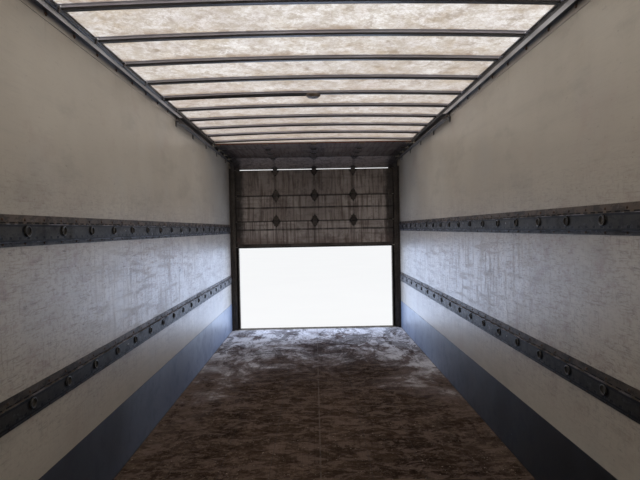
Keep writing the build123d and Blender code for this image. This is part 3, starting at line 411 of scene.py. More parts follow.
def scuff_paint():
    """Slate lining sheet: nearly black in front, paler and bluer towards the door as painted light and
    reflection.
    """
    p = Paint("scuff_sheet", rough=0.42, gloss=0.6)
    clouds = p.noise(1.6, 5, 0.6, cut=(0.3, 0.7))
    front = p.between(clouds, (24, 25, 26), (33, 35, 38))
    rear = p.between(clouds, (114, 127, 152), (134, 148, 172))
    wander = p.times(p.minus(p.noise(1.1, 4, 0.6, shift=(2, 2, 2)), 0.5), 2.0)
    # painted light and shade: the colour runs from nearly black in front to pale blue by the door, standing
    # in for the doorway's light and its reflection
    p.colour = p.blend(p.band(p.plus(p.y, wander), -2.2, 2.8), front, rear)
    # painted shade: the sheet on the vehicle's left is darker towards the front
    shaded_left_front = p.times(p.band(p.x, -0.2, 0.2), p.band(p.y, 2.4, 0.2))
    p.coat(shaded_left_front, (16, 16, 15), 0.75)
    mottle = p.noise(7, 5, 0.7, shift=(1, 4, 1), cut=(0.45, 0.7))
    p.coat(mottle, (62, 68, 78), 0.25)
    flecks = p.noise(40, 3, 0.6, shift=(4, 4, 4), cut=(0.7, 0.76))
    p.coat(flecks, (34, 34, 38), 0.6)
    bright = p.noise(60, 2, 0.5, shift=(9, 4, 4), cut=(0.75, 0.79))
    p.coat(bright, (150, 156, 166), 0.5)
    ragged = p.times(p.noise(24, 4, 0.7, shift=(5, 5, 5)), 0.012)
    foot = p.band(p.minus(p.z, ragged), FLOOR_TOP + 0.006, FLOOR_TOP - 0.001)
    p.coat(foot, (22, 19, 18), 0.9)
    low_down = p.band(p.z, FLOOR_TOP + 0.03, FLOOR_TOP)
    rusty = p.times(low_down, p.noise(22, 3, 0.6, shift=(8, 1, 8), cut=(0.6, 0.7)))
    p.coat(rusty, (120, 62, 44), 0.7)
    edge = p.band(p.plus(p.z, p.times(ragged, 0.3)), SCUFF_TOP - 0.003, SCUFF_TOP)
    p.coat(edge, (40, 42, 46), 0.8)
    return p.finish(p.ramp(mottle, 0.40, 0.5), p.bump(p.noise(4, 3, 0.5), 0.001))


def track_paint():
    """Aged galvanised sheet: dark web, brown upper flange, with painted light and shade: black holes, shadow
    lines, ring crescents and highlighted edges.
    """
    p = Paint("lashing_track_zinc", rough=0.5, gloss=0.12)
    upper = p.calc("GREATER_THAN", p.z, (ROW_LOWS[0] + ROW_LOWS[1] + ROW_HEIGHT) / 2)
    foot = p.plus(p.times(upper, ROW_LOWS[1] - ROW_LOWS[0]), ROW_LOWS[0])
    height = p.minus(p.z, foot)
    p.colour = p.between(p.noise(2.1, 4, 0.6, cut=(0.35, 0.7)), (45, 42, 37), (60, 57, 51))
    p.coat(p.ramp(p.cells(90), 0.0, 0.25), (70, 67, 61))
    # painted light: the tracks grow paler towards the door, where its light falls
    by_door = p.band(p.y, -1.0, 3.0)
    p.coat(by_door, (98, 94, 93), 0.6)
    # painted shade: the lower row is darker towards the front
    in_shade = p.times(p.minus(1.0, upper), p.band(p.y, 0.6, -2.2))
    p.coat(in_shade, (27, 25, 22), 0.65)
    top_flange = p.band(height, WEB_TOP - 0.001, WEB_TOP + 0.002)
    brown = p.times(top_flange, p.noise(2.6, 4, 0.6, shift=(4, 4, 4), cut=(0.2, 0.55)))
    p.coat(brown, (96, 83, 71), p.ramp(in_shade, 0.8, 0.3))
    bottom_flange = p.band(height, LOWER_FLANGE + 0.001, LOWER_FLANGE - 0.002)
    p.coat(bottom_flange, (86, 85, 86), p.ramp(in_shade, 0.7, 0.2))
    rust = p.noise(16, 5, 0.65, shift=(1, 9, 1), cut=(0.62, 0.76))
    p.coat(rust, (70, 52, 40), 0.6)
    dirt = p.noise(6, 5, 0.7, shift=(7, 3, 5), cut=(0.48, 0.75))
    p.coat(dirt, (40, 38, 36), 0.55)
    speckle = p.noise(22, 4, 0.75, stretch=(1, 0.6, 1), shift=(6, 6, 1), cut=(0.50, 0.56))
    p.coat(speckle, (15, 14, 13), p.ramp(by_door, 0.5, 0.9))
    # painted highlights: light specks, more of them towards the door
    glints = p.noise(28, 4, 0.7, stretch=(1, 0.5, 1), shift=(2, 6, 8), cut=(0.58, 0.66))
    p.coat(glints, (164, 164, 174), p.ramp(by_door, 0.05, 0.55))

    def from_ring(offset):
        """Distance to a point that far behind the nearest ring's middle, less along the row."""
        along = p.times(p.from_repeat(p.y, FIRST_RING + offset, RING_PITCH), 0.8)
        across = p.minus(height, RING_HEIGHT)
        return p.calc("SQRT", p.plus(p.calc("POWER", along, 2.0), p.calc("POWER", across, 2.0)))

    # painted shade and highlight round each ring: a black crescent on its front side for the shadowed dish,
    # a lighter crescent behind it for the lit edge
    dish = p.band(from_ring(-0.009), 0.029, 0.026)
    bright_part = p.band(from_ring(0.004), 0.024, 0.021)
    p.coat(dish, (11, 10, 9), 0.96)
    p.coat(bright_part, (80, 77, 72), 0.7)
    # painted shade: the holes and slots are painted near black for the shade inside them
    hole_row = p.near(height, LOWER_FLANGE + 0.012, 0.0046, 0.0012)
    holes = p.times(hole_row, p.band(p.from_repeat(p.y, FIRST_RING, SLOT_PITCH), 0.0105, 0.0085))
    slot_row = p.near(height, WEB_TOP + 0.006, 0.0026, 0.0012)
    from_slot = p.from_repeat(p.y, FIRST_RING + SLOT_PITCH / 2, SLOT_PITCH)
    openings = p.most(holes, p.times(slot_row, p.band(from_slot, 0.02, 0.017)))
    p.coat(openings, (14, 13, 12))
    # painted shadow lines at the web's lower and upper steps
    lower_corner = p.near(height, LOWER_FLANGE + 0.001, 0.0034, 0.002)
    upper_corner = p.near(height, WEB_TOP - 0.004, 0.004, 0.002)
    p.coat(p.most(lower_corner, upper_corner), (14, 13, 12), 0.92)
    # painted highlights along the edges of both steps, broken into dashes, stronger by the door and weaker
    # where shade is painted
    upper_edge = p.near(height, WEB_TOP + 0.001, 0.0014, 0.001)
    lower_edge = p.near(height, LOWER_FLANGE - 0.004, 0.0016, 0.001)
    broken = p.noise(18, 3, 0.6, stretch=(1, 0.6, 1), cut=(0.46, 0.58))
    worn = p.times(
        p.most(upper_edge, lower_edge), broken, p.ramp(by_door, 0.4, 0.9), p.ramp(in_shade, 1.0, 0.3)
    )
    p.coat(worn, (168, 166, 178))
    depth = p.minus(p.noise(30, 3, 0.5), p.times(openings, 3.0))
    return p.finish(p.ramp(p.most(rust, dirt), 0.48, 0.7), p.bump(depth, 0.0004))


def steel_paint(name, light, dark, rough, metal, rusty):
    """Worn steel or aluminium between two greys, with some rust or dirt."""
    p = Paint(name, rough=rough, metal=metal)
    p.colour = p.between(p.noise(3.3, 5, 0.6, cut=(0.32, 0.68)), dark, light)
    brushed = p.noise(40, 3, 0.6, stretch=(1, 0.06, 1))
    p.coat(p.band(brushed, 0.45, 0.75), [v * 0.78 for v in dark], 0.3)
    rust = p.noise(13, 5, 0.7, shift=(2, 5, 1), cut=(0.6, 0.76))
    p.coat(rust, (96, 64, 44), rusty)
    dulled = p.most(rust, p.band(brushed, 0.3, 0.8))
    return p.finish(p.ramp(dulled, rough - 0.1, rough + 0.18), p.bump(p.noise(26, 4, 0.6), 0.0005))


def inner_rail_paint():
    """Roof rail inside: bright strip above, leg the colour of the wall, with painted shade under the ledge,
    on the leg's upper part and beside the skin.
    """
    p = Paint("inner_rail_zinc", rough=0.4, metal=0.2)
    zinc = p.between(p.noise(2.3, 4, 0.6, cut=(0.3, 0.7)), (186, 186, 188), (212, 214, 220))
    brushed = p.noise(30, 4, 0.6, stretch=(1, 0.05, 1), cut=(0.45, 0.75))
    zinc = p.over(zinc, brushed, (140, 138, 138), 0.3)
    stained = p.noise(3, 4, 0.6, shift=(3, 3, 3), cut=(0.3, 0.7))
    leg = p.between(stained, (150, 143, 133), (164, 157, 147))
    # painted shadow of the strip on the leg's upper part
    leg = p.over(leg, p.band(p.z, RAIL_BOTTOM - RAIL_LEG, RAIL_BOTTOM - 0.004), (74, 68, 62))
    p.colour = p.blend(p.band(p.z, RAIL_BOTTOM + 0.001, RAIL_BOTTOM - 0.001), zinc, leg)
    # painted shadow under the strip's ledge
    ledge = p.times(p.near(p.z, RAIL_BOTTOM, 0.003, 0.002), p.band(p.side, BOW_HALF, BOW_HALF + 0.001))
    p.coat(ledge, (46, 41, 37))
    # painted shade where the rail meets the roof skin
    beside_skin = p.band(p.z, BOW_END - 0.002, BOW_END + 0.004)
    p.coat(beside_skin, (44, 41, 39), 0.85)
    rust = p.noise(17, 5, 0.7, shift=(5, 2, 6), cut=(0.6, 0.74))
    p.coat(rust, (92, 72, 58), 0.35)
    rough = p.ramp(p.most(rust, brushed, beside_skin), 0.34, 0.6)
    return p.finish(rough, p.bump(p.noise(22, 3, 0.6), 0.0004))


def bow_paint():
    """Galvanised roof bow: light web and flanges, its lower part painted black as shade."""
    p = Paint("bow_zinc", rough=0.45)
    over = p.calc("DIVIDE", p.x, CROWN_HALF)
    rise = p.times(p.minus(1.0, p.times(over, over)), ROOF_RISE)
    height = p.minus(p.minus(p.z, BOW_END), rise)
    clouds = p.noise(2.1, 4, 0.6, shift=(1, 0, 0), cut=(0.3, 0.7))
    p.colour = p.between(clouds, (212, 211, 222), (236, 236, 246))
    brushed = p.noise(26, 4, 0.65, stretch=(0.08, 1, 1), cut=(0.42, 0.72))
    p.coat(brushed, (132, 129, 134), 0.2)
    # painted shade: the lower part of the bow is black
    underside = p.band(height, 0.53 * BOW_HEIGHT, 0.42 * BOW_HEIGHT)
    black = p.between(p.noise(5, 4, 0.6, cut=(0.35, 0.7)), (20, 18, 18), (36, 33, 34))
    p.colour = p.blend(underside, p.colour, black)
    rust = p.noise(15, 5, 0.7, shift=(2, 5, 1), cut=(0.62, 0.76))
    p.coat(rust, (84, 66, 56), 0.3)
    return p.finish(p.ramp(brushed, 0.36, 0.56), p.bump(p.noise(26, 4, 0.6), 0.0004))


def roof_paint():
    """Translucent glass-fibre sheet that glows, mottled by its fibres and by age."""
    p = Paint("translucent_roof", rough=0.55, gloss=0.2)
    clouds = p.noise(1.6, 5, 0.65)
    p.colour = p.between(p.band(clouds, 0.3, 0.7), (240, 238, 237), (252, 252, 252))
    grey = p.noise(6, 5, 0.7, shift=(4, 4, 0), cut=(0.45, 0.64))
    p.coat(grey, (212, 206, 202), 0.4)
    beige = p.times(p.noise(3.6, 6, 0.75, shift=(3, 8, 0), cut=(0.48, 0.64)), p.band(clouds, 0.72, 0.4))
    p.coat(beige, (208, 194, 172), 0.5)
    rosy = p.noise(2.6, 4, 0.6, shift=(7, 2, 0), cut=(0.54, 0.7))
    p.coat(rosy, (220, 203, 199), 0.2)
    mottle = p.noise(15, 6, 0.8, twist=0.5, cut=(0.46, 0.58))
    p.coat(mottle, (202, 194, 180), 0.45)
    blots = p.noise(9, 5, 0.75, stretch=(1, 0.6, 1), shift=(5, 5, 0), cut=(0.54, 0.6))
    p.coat(p.times(blots, p.band(p.y, -2.6, -0.6)), (168, 154, 140), 0.3)
    fibres = p.noise(48, 5, 0.8, twist=0.8)
    p.coat(p.band(fibres, 0.49, 0.56), (198, 188, 178), 0.4)
    by_bow = p.band(p.from_repeat(p.y, FIRST_BOW, BOW_PITCH), 0.10, 0.03)
    p.coat(p.times(by_bow, p.noise(5, 5, 0.7, cut=(0.4, 0.62))), (184, 168, 154), 0.5)
    # painted shade: the sheet darkens towards the rear
    p.coat(p.band(p.y, -1.5, FRAME_FRONT), (196, 184, 175), 0.5)
    specks = p.noise(48, 3, 0.6, shift=(6, 6, 0), cut=(0.68, 0.74))
    p.coat(specks, (150, 134, 118), 0.4)

    # The outer face is paler
    facing = p.node("ShaderNodeSeparateXYZ", {0: p.node("ShaderNodeNewGeometry").outputs["True Normal"]})
    washed = p.between(p.band(clouds, 0.3, 0.7), (214, 208, 198), (232, 228, 221))
    p.colour = p.blend(p.band(facing.outputs["Z"], 0.3, 0.6), p.colour, washed)
    p.finish(normal=p.bump(fibres, 0.0004))
    p.mix_shader(0.78, p.node("ShaderNodeBsdfTranslucent", {"Color": p.colour}))
    return p.material


def floor_paint():
    """Old hardwood strips, nearly black with dirt, dusty and worn grey towards the door."""
    p = Paint("hardwood", rough=0.62, gloss=0.0)
    grain = p.noise(34, 5, 0.65, stretch=(1, 0.05, 1), twist=0.4)
    strip = p.calc("FLOOR", p.calc("DIVIDE", p.x, STRIP_WIDTH))
    length = p.calc("FLOOR", p.calc("DIVIDE", p.y, STRIP_LENGTH))
    tone_place = p.node("ShaderNodeCombineXYZ", {0: strip, 1: length})
    tone = p.node("ShaderNodeTexWhiteNoise", {"Vector": tone_place.outputs[0]}, noise_dimensions="2D")
    p.colour = p.between(p.band(grain, 0.3, 0.7), (60, 48, 40), (76, 62, 53))
    p.coat(tone.outputs[0], (80, 65, 55), 0.25)
    dirt = p.noise(1.5, 6, 0.75, shift=(4, 0, 0), cut=(0.42, 0.58))
    p.coat(dirt, (40, 32, 28), 0.5)
    clumps = p.noise(14, 6, 0.7, stretch=(0.8, 1, 1), twist=0.6, shift=(3, 3, 0), cut=(0.48, 0.56))
    p.coat(clumps, (98, 84, 72), 0.4)
    soaked = p.noise(5, 7, 0.75, stretch=(0.8, 1, 1), twist=0.6, shift=(1, 9, 0), cut=(0.47, 0.56))
    p.coat(soaked, (32, 26, 23), 0.5)
    spots = p.noise(36, 5, 0.75, stretch=(0.7, 1, 1), shift=(8, 2, 0), cut=(0.53, 0.60))
    p.coat(spots, (118, 103, 92), 0.5)
    pits = p.noise(30, 5, 0.75, stretch=(0.7, 1, 1), shift=(2, 8, 0), cut=(0.53, 0.60))
    p.coat(pits, (26, 21, 19), 0.5)
    trodden = p.times(p.near(p.x, -0.05, 0.25, 0.35), p.band(p.y, 2.4, 0.6))
    p.coat(trodden, (96, 80, 68), 0.3)
    # painted shade: a darker patch on the vehicle's left towards the front
    shaded_patch = p.times(p.near(p.x, 0.62, 0.3, 0.3), p.band(p.y, 0.8, -1.2))
    p.coat(shaded_patch, (28, 22, 18), 0.42)
    caked = p.noise(9, 7, 0.8, stretch=(0.6, 1, 1), twist=0.5, shift=(4, 9, 0), cut=(0.48, 0.56))
    p.coat(p.times(caked, p.band(p.y, -2.8, -0.6)), (30, 24, 21), 0.5)
    ashen = p.noise(10, 7, 0.8, stretch=(0.6, 1, 1), twist=0.5, shift=(9, 3, 0), cut=(0.49, 0.57))
    p.coat(p.times(ashen, p.band(p.y, -2.8, 0.4)), (116, 100, 92), 0.6)

    # Wear beside the walls, then dust and stains that reach further in here and there
    worn = p.times(
        p.band(p.side, 0.62, 1.14),
        p.band(p.y, -1.6, 1.8),
        p.noise(4, 7, 0.75, stretch=(1, 0.5, 1), twist=0.6, shift=(1, 7, 0), cut=(0.44, 0.52)),
    )
    p.coat(worn, (120, 104, 94), 0.5)
    wander = p.minus(p.noise(1.8, 7, 0.75, twist=0.8, shift=(2, 2, 0)), 0.5)
    spilled = p.plus(p.plus(p.y, p.times(wander, 6.0)), p.times(p.band(p.side, 0.35, 1.0), 0.8))
    ragged = p.times(p.noise(12, 6, 0.75, shift=(3, 1, 0)), 1.2)
    p.coat(p.band(p.plus(spilled, ragged), 1.6, 3.4), (118, 106, 104), 0.6)
    blotchy = p.noise(5, 8, 0.75, stretch=(1, 0.7, 1), twist=0.5, shift=(6, 2, 0), cut=(0.40, 0.54))
    dusty = p.times(p.band(spilled, 1.9, 3.5), p.most(blotchy, p.band(p.y, 3.3, 3.9)))
    p.coat(dusty, (214, 210, 210), 0.92)
    stains = p.noise(4.5, 8, 0.8, stretch=(1, 0.45, 1), twist=0.8, shift=(9, 1, 0), cut=(0.5, 0.53))
    p.coat(p.times(p.band(p.y, 1.0, 2.4), stains), (52, 44, 42), 0.6)
    crumbs = p.noise(75, 2, 0.5, shift=(1, 1, 0), cut=(0.70, 0.75))
    p.coat(crumbs, (170, 158, 146), 0.8)

    joints = p.band(p.from_repeat(p.x, 0.0, STRIP_WIDTH), 0.0016, 0.0004)
    p.coat(joints, (20, 16, 14), 0.25)
    middle_seam = p.times(
        p.near(p.x, 0.0, 0.003, 0.003),
        p.noise(6, 5, 0.7, shift=(0, 5, 0), cut=(0.42, 0.52)),
        p.ramp(p.band(p.y, -2.0, 1.0), 0.35, 1.0),
    )
    p.coat(middle_seam, (126, 112, 104), 0.6)
    ends = p.times(
        p.band(p.from_repeat(p.y, FIRST_BOARD_END, BOARD_END_PITCH), 0.010, 0.003),
        p.noise(2.2, 4, 0.6, cut=(0.47, 0.53)),
    )
    p.coat(ends, (110, 96, 86), 0.6)
    height = p.minus(p.times(grain, 0.3), p.most(joints, ends))
    normal = p.bump(p.noise(14, 6, 0.75), 0.004, p.bump(height, 0.0006))
    return p.finish(p.ramp(p.most(dusty, worn), 0.5, 0.85), normal)


def panel_frame(index):
    """Centre of a door panel, its direction up the door and its direction to the load space."""
    corners = [v.co for v in nodes[f"door_panel_{index}"].data.vertices]
    centre = Vector((min(c[axis] for c in corners) + max(c[axis] for c in corners)) / 2 for axis in range(3))
    spread_y = sum((c.y - centre.y) ** 2 for c in corners)
    spread_z = sum((c.z - centre.z) ** 2 for c in corners)
    shared = sum((c.y - centre.y) * (c.z - centre.z) for c in corners)
    slope = 0.5 * math.atan2(2 * shared, spread_y - spread_z)
    along = Vector((0, math.cos(slope), math.sin(slope)))
    if along.z - along.y < 0:
        along = -along
    return centre, along, Vector((0, -along.z, along.y))


def door_paint(index):
    """Painted board of one door panel: streaks, grime lines, grease round the hinges, with painted shade
    higher up and in the gaps between panels.
    """
    centre, along, inward = panel_frame(index)
    level = index >= LEVEL_PANEL
    p = Paint(f"door_board_{index}", rough=0.5, gloss=0.1 if level else 0.4)

    def measured(direction):
        made = p.node("ShaderNodeVectorMath", {0: p.place, 1: tuple(direction)}, operation="DOT_PRODUCT")
        return p.minus(made.outputs["Value"], centre.dot(direction))

    up, depth = measured(along), measured(inward)
    outside = p.band(depth, 0.0, -0.004)
    grime = p.noise(2.3, 5, 0.65, shift=(index, 0, 0), cut=(0.3, 0.7))
    p.colour = p.between(grime, (168, 157, 150), (212, 202, 194))
    # painted shade: each panel higher up the door is darker
    p.coat(min(0.22 * (index - 1), 0.75), (104, 88, 76))
    tall = (1, 0.05, 1) if level else (1, 1, 0.05)
    streaks = p.noise(26, 5, 0.75, stretch=tall, shift=(index * 3, 0, 0), cut=(0.45, 0.62))
    p.coat(streaks, (96, 82, 74), 0.75)
    level_streaks = p.noise(16, 4, 0.7, stretch=(0.08, 1, 1), shift=(index, 4, 0), cut=(0.5, 0.66))
    p.coat(level_streaks, (92, 80, 70), 0.4)
    patches = p.noise(6, 6, 0.75, shift=(index * 2, 1, 0), cut=(0.5, 0.62))
    p.coat(patches, (76, 64, 60), 0.4)
    if level:
        # painted shade: the panels that hang level under the roof are darkened further
        in_shade = p.noise(4, 5, 0.7, shift=(index, 3, 0), cut=(0.35, 0.6))
        p.coat(p.ramp(in_shade, 0.65, 0.93), (64, 52, 45))
    greased_side = p.band(p.plus(p.side, p.times(p.noise(7, 6, 0.8), 0.14)), 1.04, 1.13)
    p.coat(greased_side, (30, 24, 22), 0.85)

    # Grease runs down from the hinges and spreads in a diamond round each one
    column = p.most(p.from_repeat(p.x, 0.0, HINGE_SPACING), p.minus(p.side, 0.70))
    run_down = p.times(p.band(column, 0.03, 0.004), p.noise(30, 3, 0.6, stretch=tall, cut=(0.3, 0.55)))
    p.coat(run_down, (70, 60, 54), 0.65)
    from_end = p.minus(PANEL_HALF, p.calc("ABSOLUTE", up))
    ragged = p.times(p.noise(60, 4, 0.7), 0.03)
    diamond = p.plus(p.plus(p.times(from_end, 0.7), column), ragged)
    grease = p.band(diamond, 0.094, 0.066)
    if index == 1:
        grease = p.times(grease, p.calc("GREATER_THAN", up, 0.0))
    if index >= LEVEL_PANEL - 1:
        grease = p.times(grease, 0.85)
    p.coat(grease, (18, 14, 14))
    # painted shadow in the gaps: a dark band along both ends of each panel
    p.coat(p.band(from_end, 0.014, 0.003), (38, 31, 27), 0.85)
    if index in GRIME_LINES:
        wander = p.times(p.noise(1.5, 2, 0.5, stretch=(1, 0, 0)), 0.02)
        line = p.near(p.plus(up, wander), GRIME_LINES[index] + 0.01, 0.006, 0.012)
        broken = p.ramp(p.noise(8, 3, 0.6, cut=(0.35, 0.6)), 0.6, 1.0)
        p.coat(p.times(line, broken), (36, 29, 26), 0.9)
    if index == 1:
        splashed = p.times(p.band(up, 0.05, -0.17), p.noise(7, 5, 0.7, cut=(0.3, 0.6)))
        p.coat(splashed, (112, 88, 78), 0.6)
    if index == PANEL_COUNT:
        p.coat(p.band(up, PANEL_HALF - 0.004, PANEL_HALF - 0.001), (96, 58, 44))
    p.colour = p.blend(outside, p.colour, p.between(grime, (198, 198, 194), (212, 212, 209)))
    normal = p.bump(p.noise(3, 4, 0.5, shift=(index, 0, 0)), 0.0015, p.bump(streaks, 0.0003))
    return p.finish(p.ramp(p.most(grease, streaks), 0.42, 0.6), normal)


def lens_paint(name, bright, deep):
    """Moulded lamp lens with fine ribs."""
    p = Paint(name, rough=0.18)
    ribs = p.calc("SINE", p.times(p.plus(p.x, p.y), 900.0))
    dust = p.noise(9, 4, 0.6, cut=(0.4, 0.75))
    p.colour = p.between(p.ramp(p.noise(20, 2, 0.5), 0.0, 1.0), deep, bright)
    p.coat(dust, (150, 140, 128), 0.25)
    return p.finish(p.ramp(dust, 0.14, 0.4), p.bump(ribs, 0.0005))


def plain_paint(name, first, second, rough):
    """Rubber, nylon or plastic with a little dirt."""
    p = Paint(name, rough=rough)
    p.colour = p.between(p.noise(12, 4, 0.6, cut=(0.35, 0.7)), first, second)
    dulled = p.ramp(p.noise(18, 3, 0.5), rough - 0.08, rough + 0.1)
    return p.finish(dulled, p.bump(p.noise(90, 2, 0.5), 0.0002))


paints = {
    "wall": wall_paint("glass_fibre_panel"),
    "front": wall_paint("glass_fibre_front", front=True),
    "scuff": scuff_paint(),
    "track": track_paint(),
    "roof": roof_paint(),
    "floor": floor_paint(),
    "inner_rail": inner_rail_paint(),
    "bow": bow_paint(),
    "amber": lens_paint("lens_amber", (224, 132, 24), (190, 96, 10)),
    "red": lens_paint("lens_red", (176, 22, 20), (120, 10, 12)),
    "clear": lens_paint("lamp_lens_clear", (150, 136, 120), (110, 98, 86)),
    "nylon": plain_paint("roller_nylon", (168, 162, 148), (128, 122, 110), 0.6),
    "rubber": plain_paint("rubber_black", (36, 35, 34), (24, 23, 23), 0.75),
    "wire": plain_paint("wire_black", (50, 49, 50), (32, 31, 32), 0.3),
    "seam": plain_paint("seam_filler", (30, 25, 22), (22, 18, 16), 0.8),
}
# Key, then material, light and dark grey, roughness, metal and rust
STEELS = (
    ("frame", "painted_steel_dark", (66, 58, 52), (44, 38, 34), 0.55, 0.1, 0.6),
    ("rail", "rail_aluminium", (172, 173, 172), (146, 147, 148), 0.42, 0.7, 0.08),
    ("steel", "door_steel", (96, 90, 84), (66, 60, 56), 0.5, 0.6, 0.5),
    ("ring", "ring_steel", (84, 82, 80), (52, 50, 48), 0.45, 0.7, 0.4),
    ("bolt", "bolt_zinc", (176, 176, 174), (128, 126, 122), 0.35, 0.8, 0.4),
    ("rusty", "bolt_rusty", (88, 66, 50), (58, 42, 34), 0.7, 0.3, 0.8),
)
for key, *steel in STEELS:
    paints[key] = steel_paint(*steel)


def pair(stem):
    """Names of a left and a right node."""
    return f"{stem}_left", f"{stem}_right"


NODE_PAINTS = {
    "frame": (*pair("longsill"), "crossmembers", *pair("rear_post"), "rear_header", "rear_sill"),
    "floor": ("floor_boards",),
    "rail": (
        *pair("bottom_rail"), *pair("top_rail"), "front_top_rail", "front_corner_caps",
        *pair("front_corner_post"), "front_sill", "front_roof_angle",
    ),
    "wall": pair("side_wall"),
    "front": ("front_wall",),
    "scuff": pair("scuff_plate"),
    "track": pair("lashing_tracks"),
    "ring": ("tie_rings",),
    "inner_rail": pair("inner_roof_rail"),
    "bow": ("roof_bows",),
    "wire": ("lamp_conduit",),
    "roof": ("roof_skin",),
    "clear": ("dome_lamp",),
    "amber": ("marker_lamps_amber",),
    "red": ("marker_lamps_red", "tail_lamps"),
    "steel": (
        "door_bottom_channel", "door_hinges", "door_latch", "cable_lugs", *pair("door_track"),
        "track_hangers", "counterbalance", "shaft_brackets", "lift_cables",
    ),
    "nylon": ("door_rollers",),
}


def dress(node, material):
    """Give a frame node its material in every slot."""
    slots = nodes[node].data.materials
    if not slots:
        slots.append(material)
    for i in range(len(slots)):
        slots[i] = material


for paint, names in NODE_PAINTS.items():
    for name in names:
        dress(name, paints[paint])
for index in range(1, PANEL_COUNT + 1):
    dress(f"door_panel_{index}", door_paint(index))


def turns(count):
    """Angles of a full turn in equal steps."""
    return [2 * math.pi * k / count for k in range(count)]


class Shape:
    """Simple pieces gathered into one mesh that rides with the body."""

    def __init__(self):
        self.mesh = bmesh.new()

    def skin(self, rows):
        """Join rows of points, each a closed loop, into a skin."""
        made = [[self.mesh.verts.new(point) for point in row] for row in rows]
        for first, second in zip(made, made[1:]):
            count = len(first)
            for k in range(count):
                after = (k + 1) % count
                self.mesh.faces.new((first[k], first[after], second[after], second[k]))
        return made

    def dome(self, place, outward, head, sides=10, steps=3):
        """Rounded bolt or rivet head on a surface."""
        radius, height = head
        turn = Vector(outward).normalized().to_track_quat("Z", "Y")
        rows = []
        for step in range(steps):
            angle = math.pi / 2 * step / steps
            reach, lift = radius * math.cos(angle), height * math.sin(angle)
            circle = [(reach * math.cos(t), reach * math.sin(t), lift) for t in turns(sides)]
            rows.append([Vector(place) + turn @ Vector(point) for point in circle])
        made = self.skin(rows)
        self.mesh.faces.new(made[-1])

    def tube(self, path, radius, sides=8):
        """Round bar along a path of points, closed at its ends."""
        path = [Vector(point) for point in path]
        circle = [Vector((radius * math.cos(t), radius * math.sin(t), 0)) for t in turns(sides)]
        rows = []
        for k, point in enumerate(path):
            ahead = (path[min(k + 1, len(path) - 1)] - path[max(k - 1, 0)]).normalized()
            turn = ahead.to_track_quat("Z", "Y")
            rows.append([point + turn @ spoke for spoke in circle])
        made = self.skin(rows)
        self.mesh.faces.new(made[0])
        self.mesh.faces.new(made[-1])

    def hoop(self, centre, facing, radius, thickness, sides=28, round_sides=8):
        """Closed ring of round bar facing a direction."""
        turn = Vector(facing).to_track_quat("Z", "Y")
        rows = []
        for t in turns(sides):
            bar = []
            for s in turns(round_sides):
                reach = radius + thickness * math.cos(s)
                spoke = Vector((reach * math.cos(t), reach * math.sin(t), thickness * math.sin(s)))
                bar.append(Vector(centre) + turn @ spoke)
            rows.append(bar)
        self.skin(rows + rows[:1])

    def block(self, low, high):
        """Rectangular block between two corners."""
        low, high = Vector(low), Vector(high)
        place = Matrix.Translation((low + high) / 2) @ Matrix.Diagonal((*(high - low), 1.0))
        bmesh.ops.create_cube(self.mesh, size=1.0, matrix=place)

    def finish(self, name, material, smooth=True, replaced=()):
        """Make the piece, which stands for the replaced nodes if there are any."""
        bmesh.ops.remove_doubles(self.mesh, verts=self.mesh.verts, dist=1e-6)
        bmesh.ops.recalc_face_normals(self.mesh, faces=self.mesh.faces)
        data = bpy.data.meshes.new(name)
        self.mesh.to_mesh(data)
        self.mesh.free()
        data.materials.append(material)
        if smooth:
            data.shade_smooth()
        piece = bpy.data.objects.new(name, data)
        bpy.context.scene.collection.objects.link(piece)
        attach(piece, "root")
        if replaced:
            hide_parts(*replaced)


def repeated(first, last, pitch):
    """Places at the pitch from first up to last."""
    return [first + pitch * k for k in range(int((last - first) / pitch) + 1)]


def crown(x):
    """Height of the roof's crown at x above its sides."""
    return ROOF_RISE * (1 - (x / CROWN_HALF) ** 2)


def add_lashing_details():
    """Round rings, bolts along both flanges and a few bright screws on the webs."""
    rings, bolts, screws = Shape(), Shape(), Shape()
    for side in (-1, 1):
        inward = (-side, 0, 0)
        for low in ROW_LOWS:
            for k, y in enumerate(repeated(FIRST_RING, track_high.y - RING_RADIUS, RING_PITCH)):
                centre = (side * (TRACK_FACE - RING_BAR), y, low + RING_HEIGHT)
                rings.hoop(centre, inward, RING_RADIUS - RING_BAR, RING_BAR)
                if k % RINGS_PER_SCREW == 1:
                    place = (side * TRACK_FACE, y + SCREW_FROM_RING, low + RING_HEIGHT)
                    screws.dome(place, inward, TRACK_SCREW)
            for y in repeated(FIRST_RING, track_high.y - 0.02, TRACK_BOLT_PITCH):
                wander = dice.uniform(-BOLT_WANDER, BOLT_WANDER)
                bolts.dome((side * FLANGE_FACE, y + wander, low + UPPER_BOLTS), inward, UPPER_TRACK_BOLT)
                bolts.dome((side * FLANGE_FACE, y - wander, low + LOWER_BOLTS), inward, LOWER_TRACK_BOLT)
    rings.finish("tie_rings_round", paints["ring"], replaced=("tie_rings",))
    bolts.finish("track_bolts", paints["rusty"])
    screws.finish("track_screws", paints["bolt"])


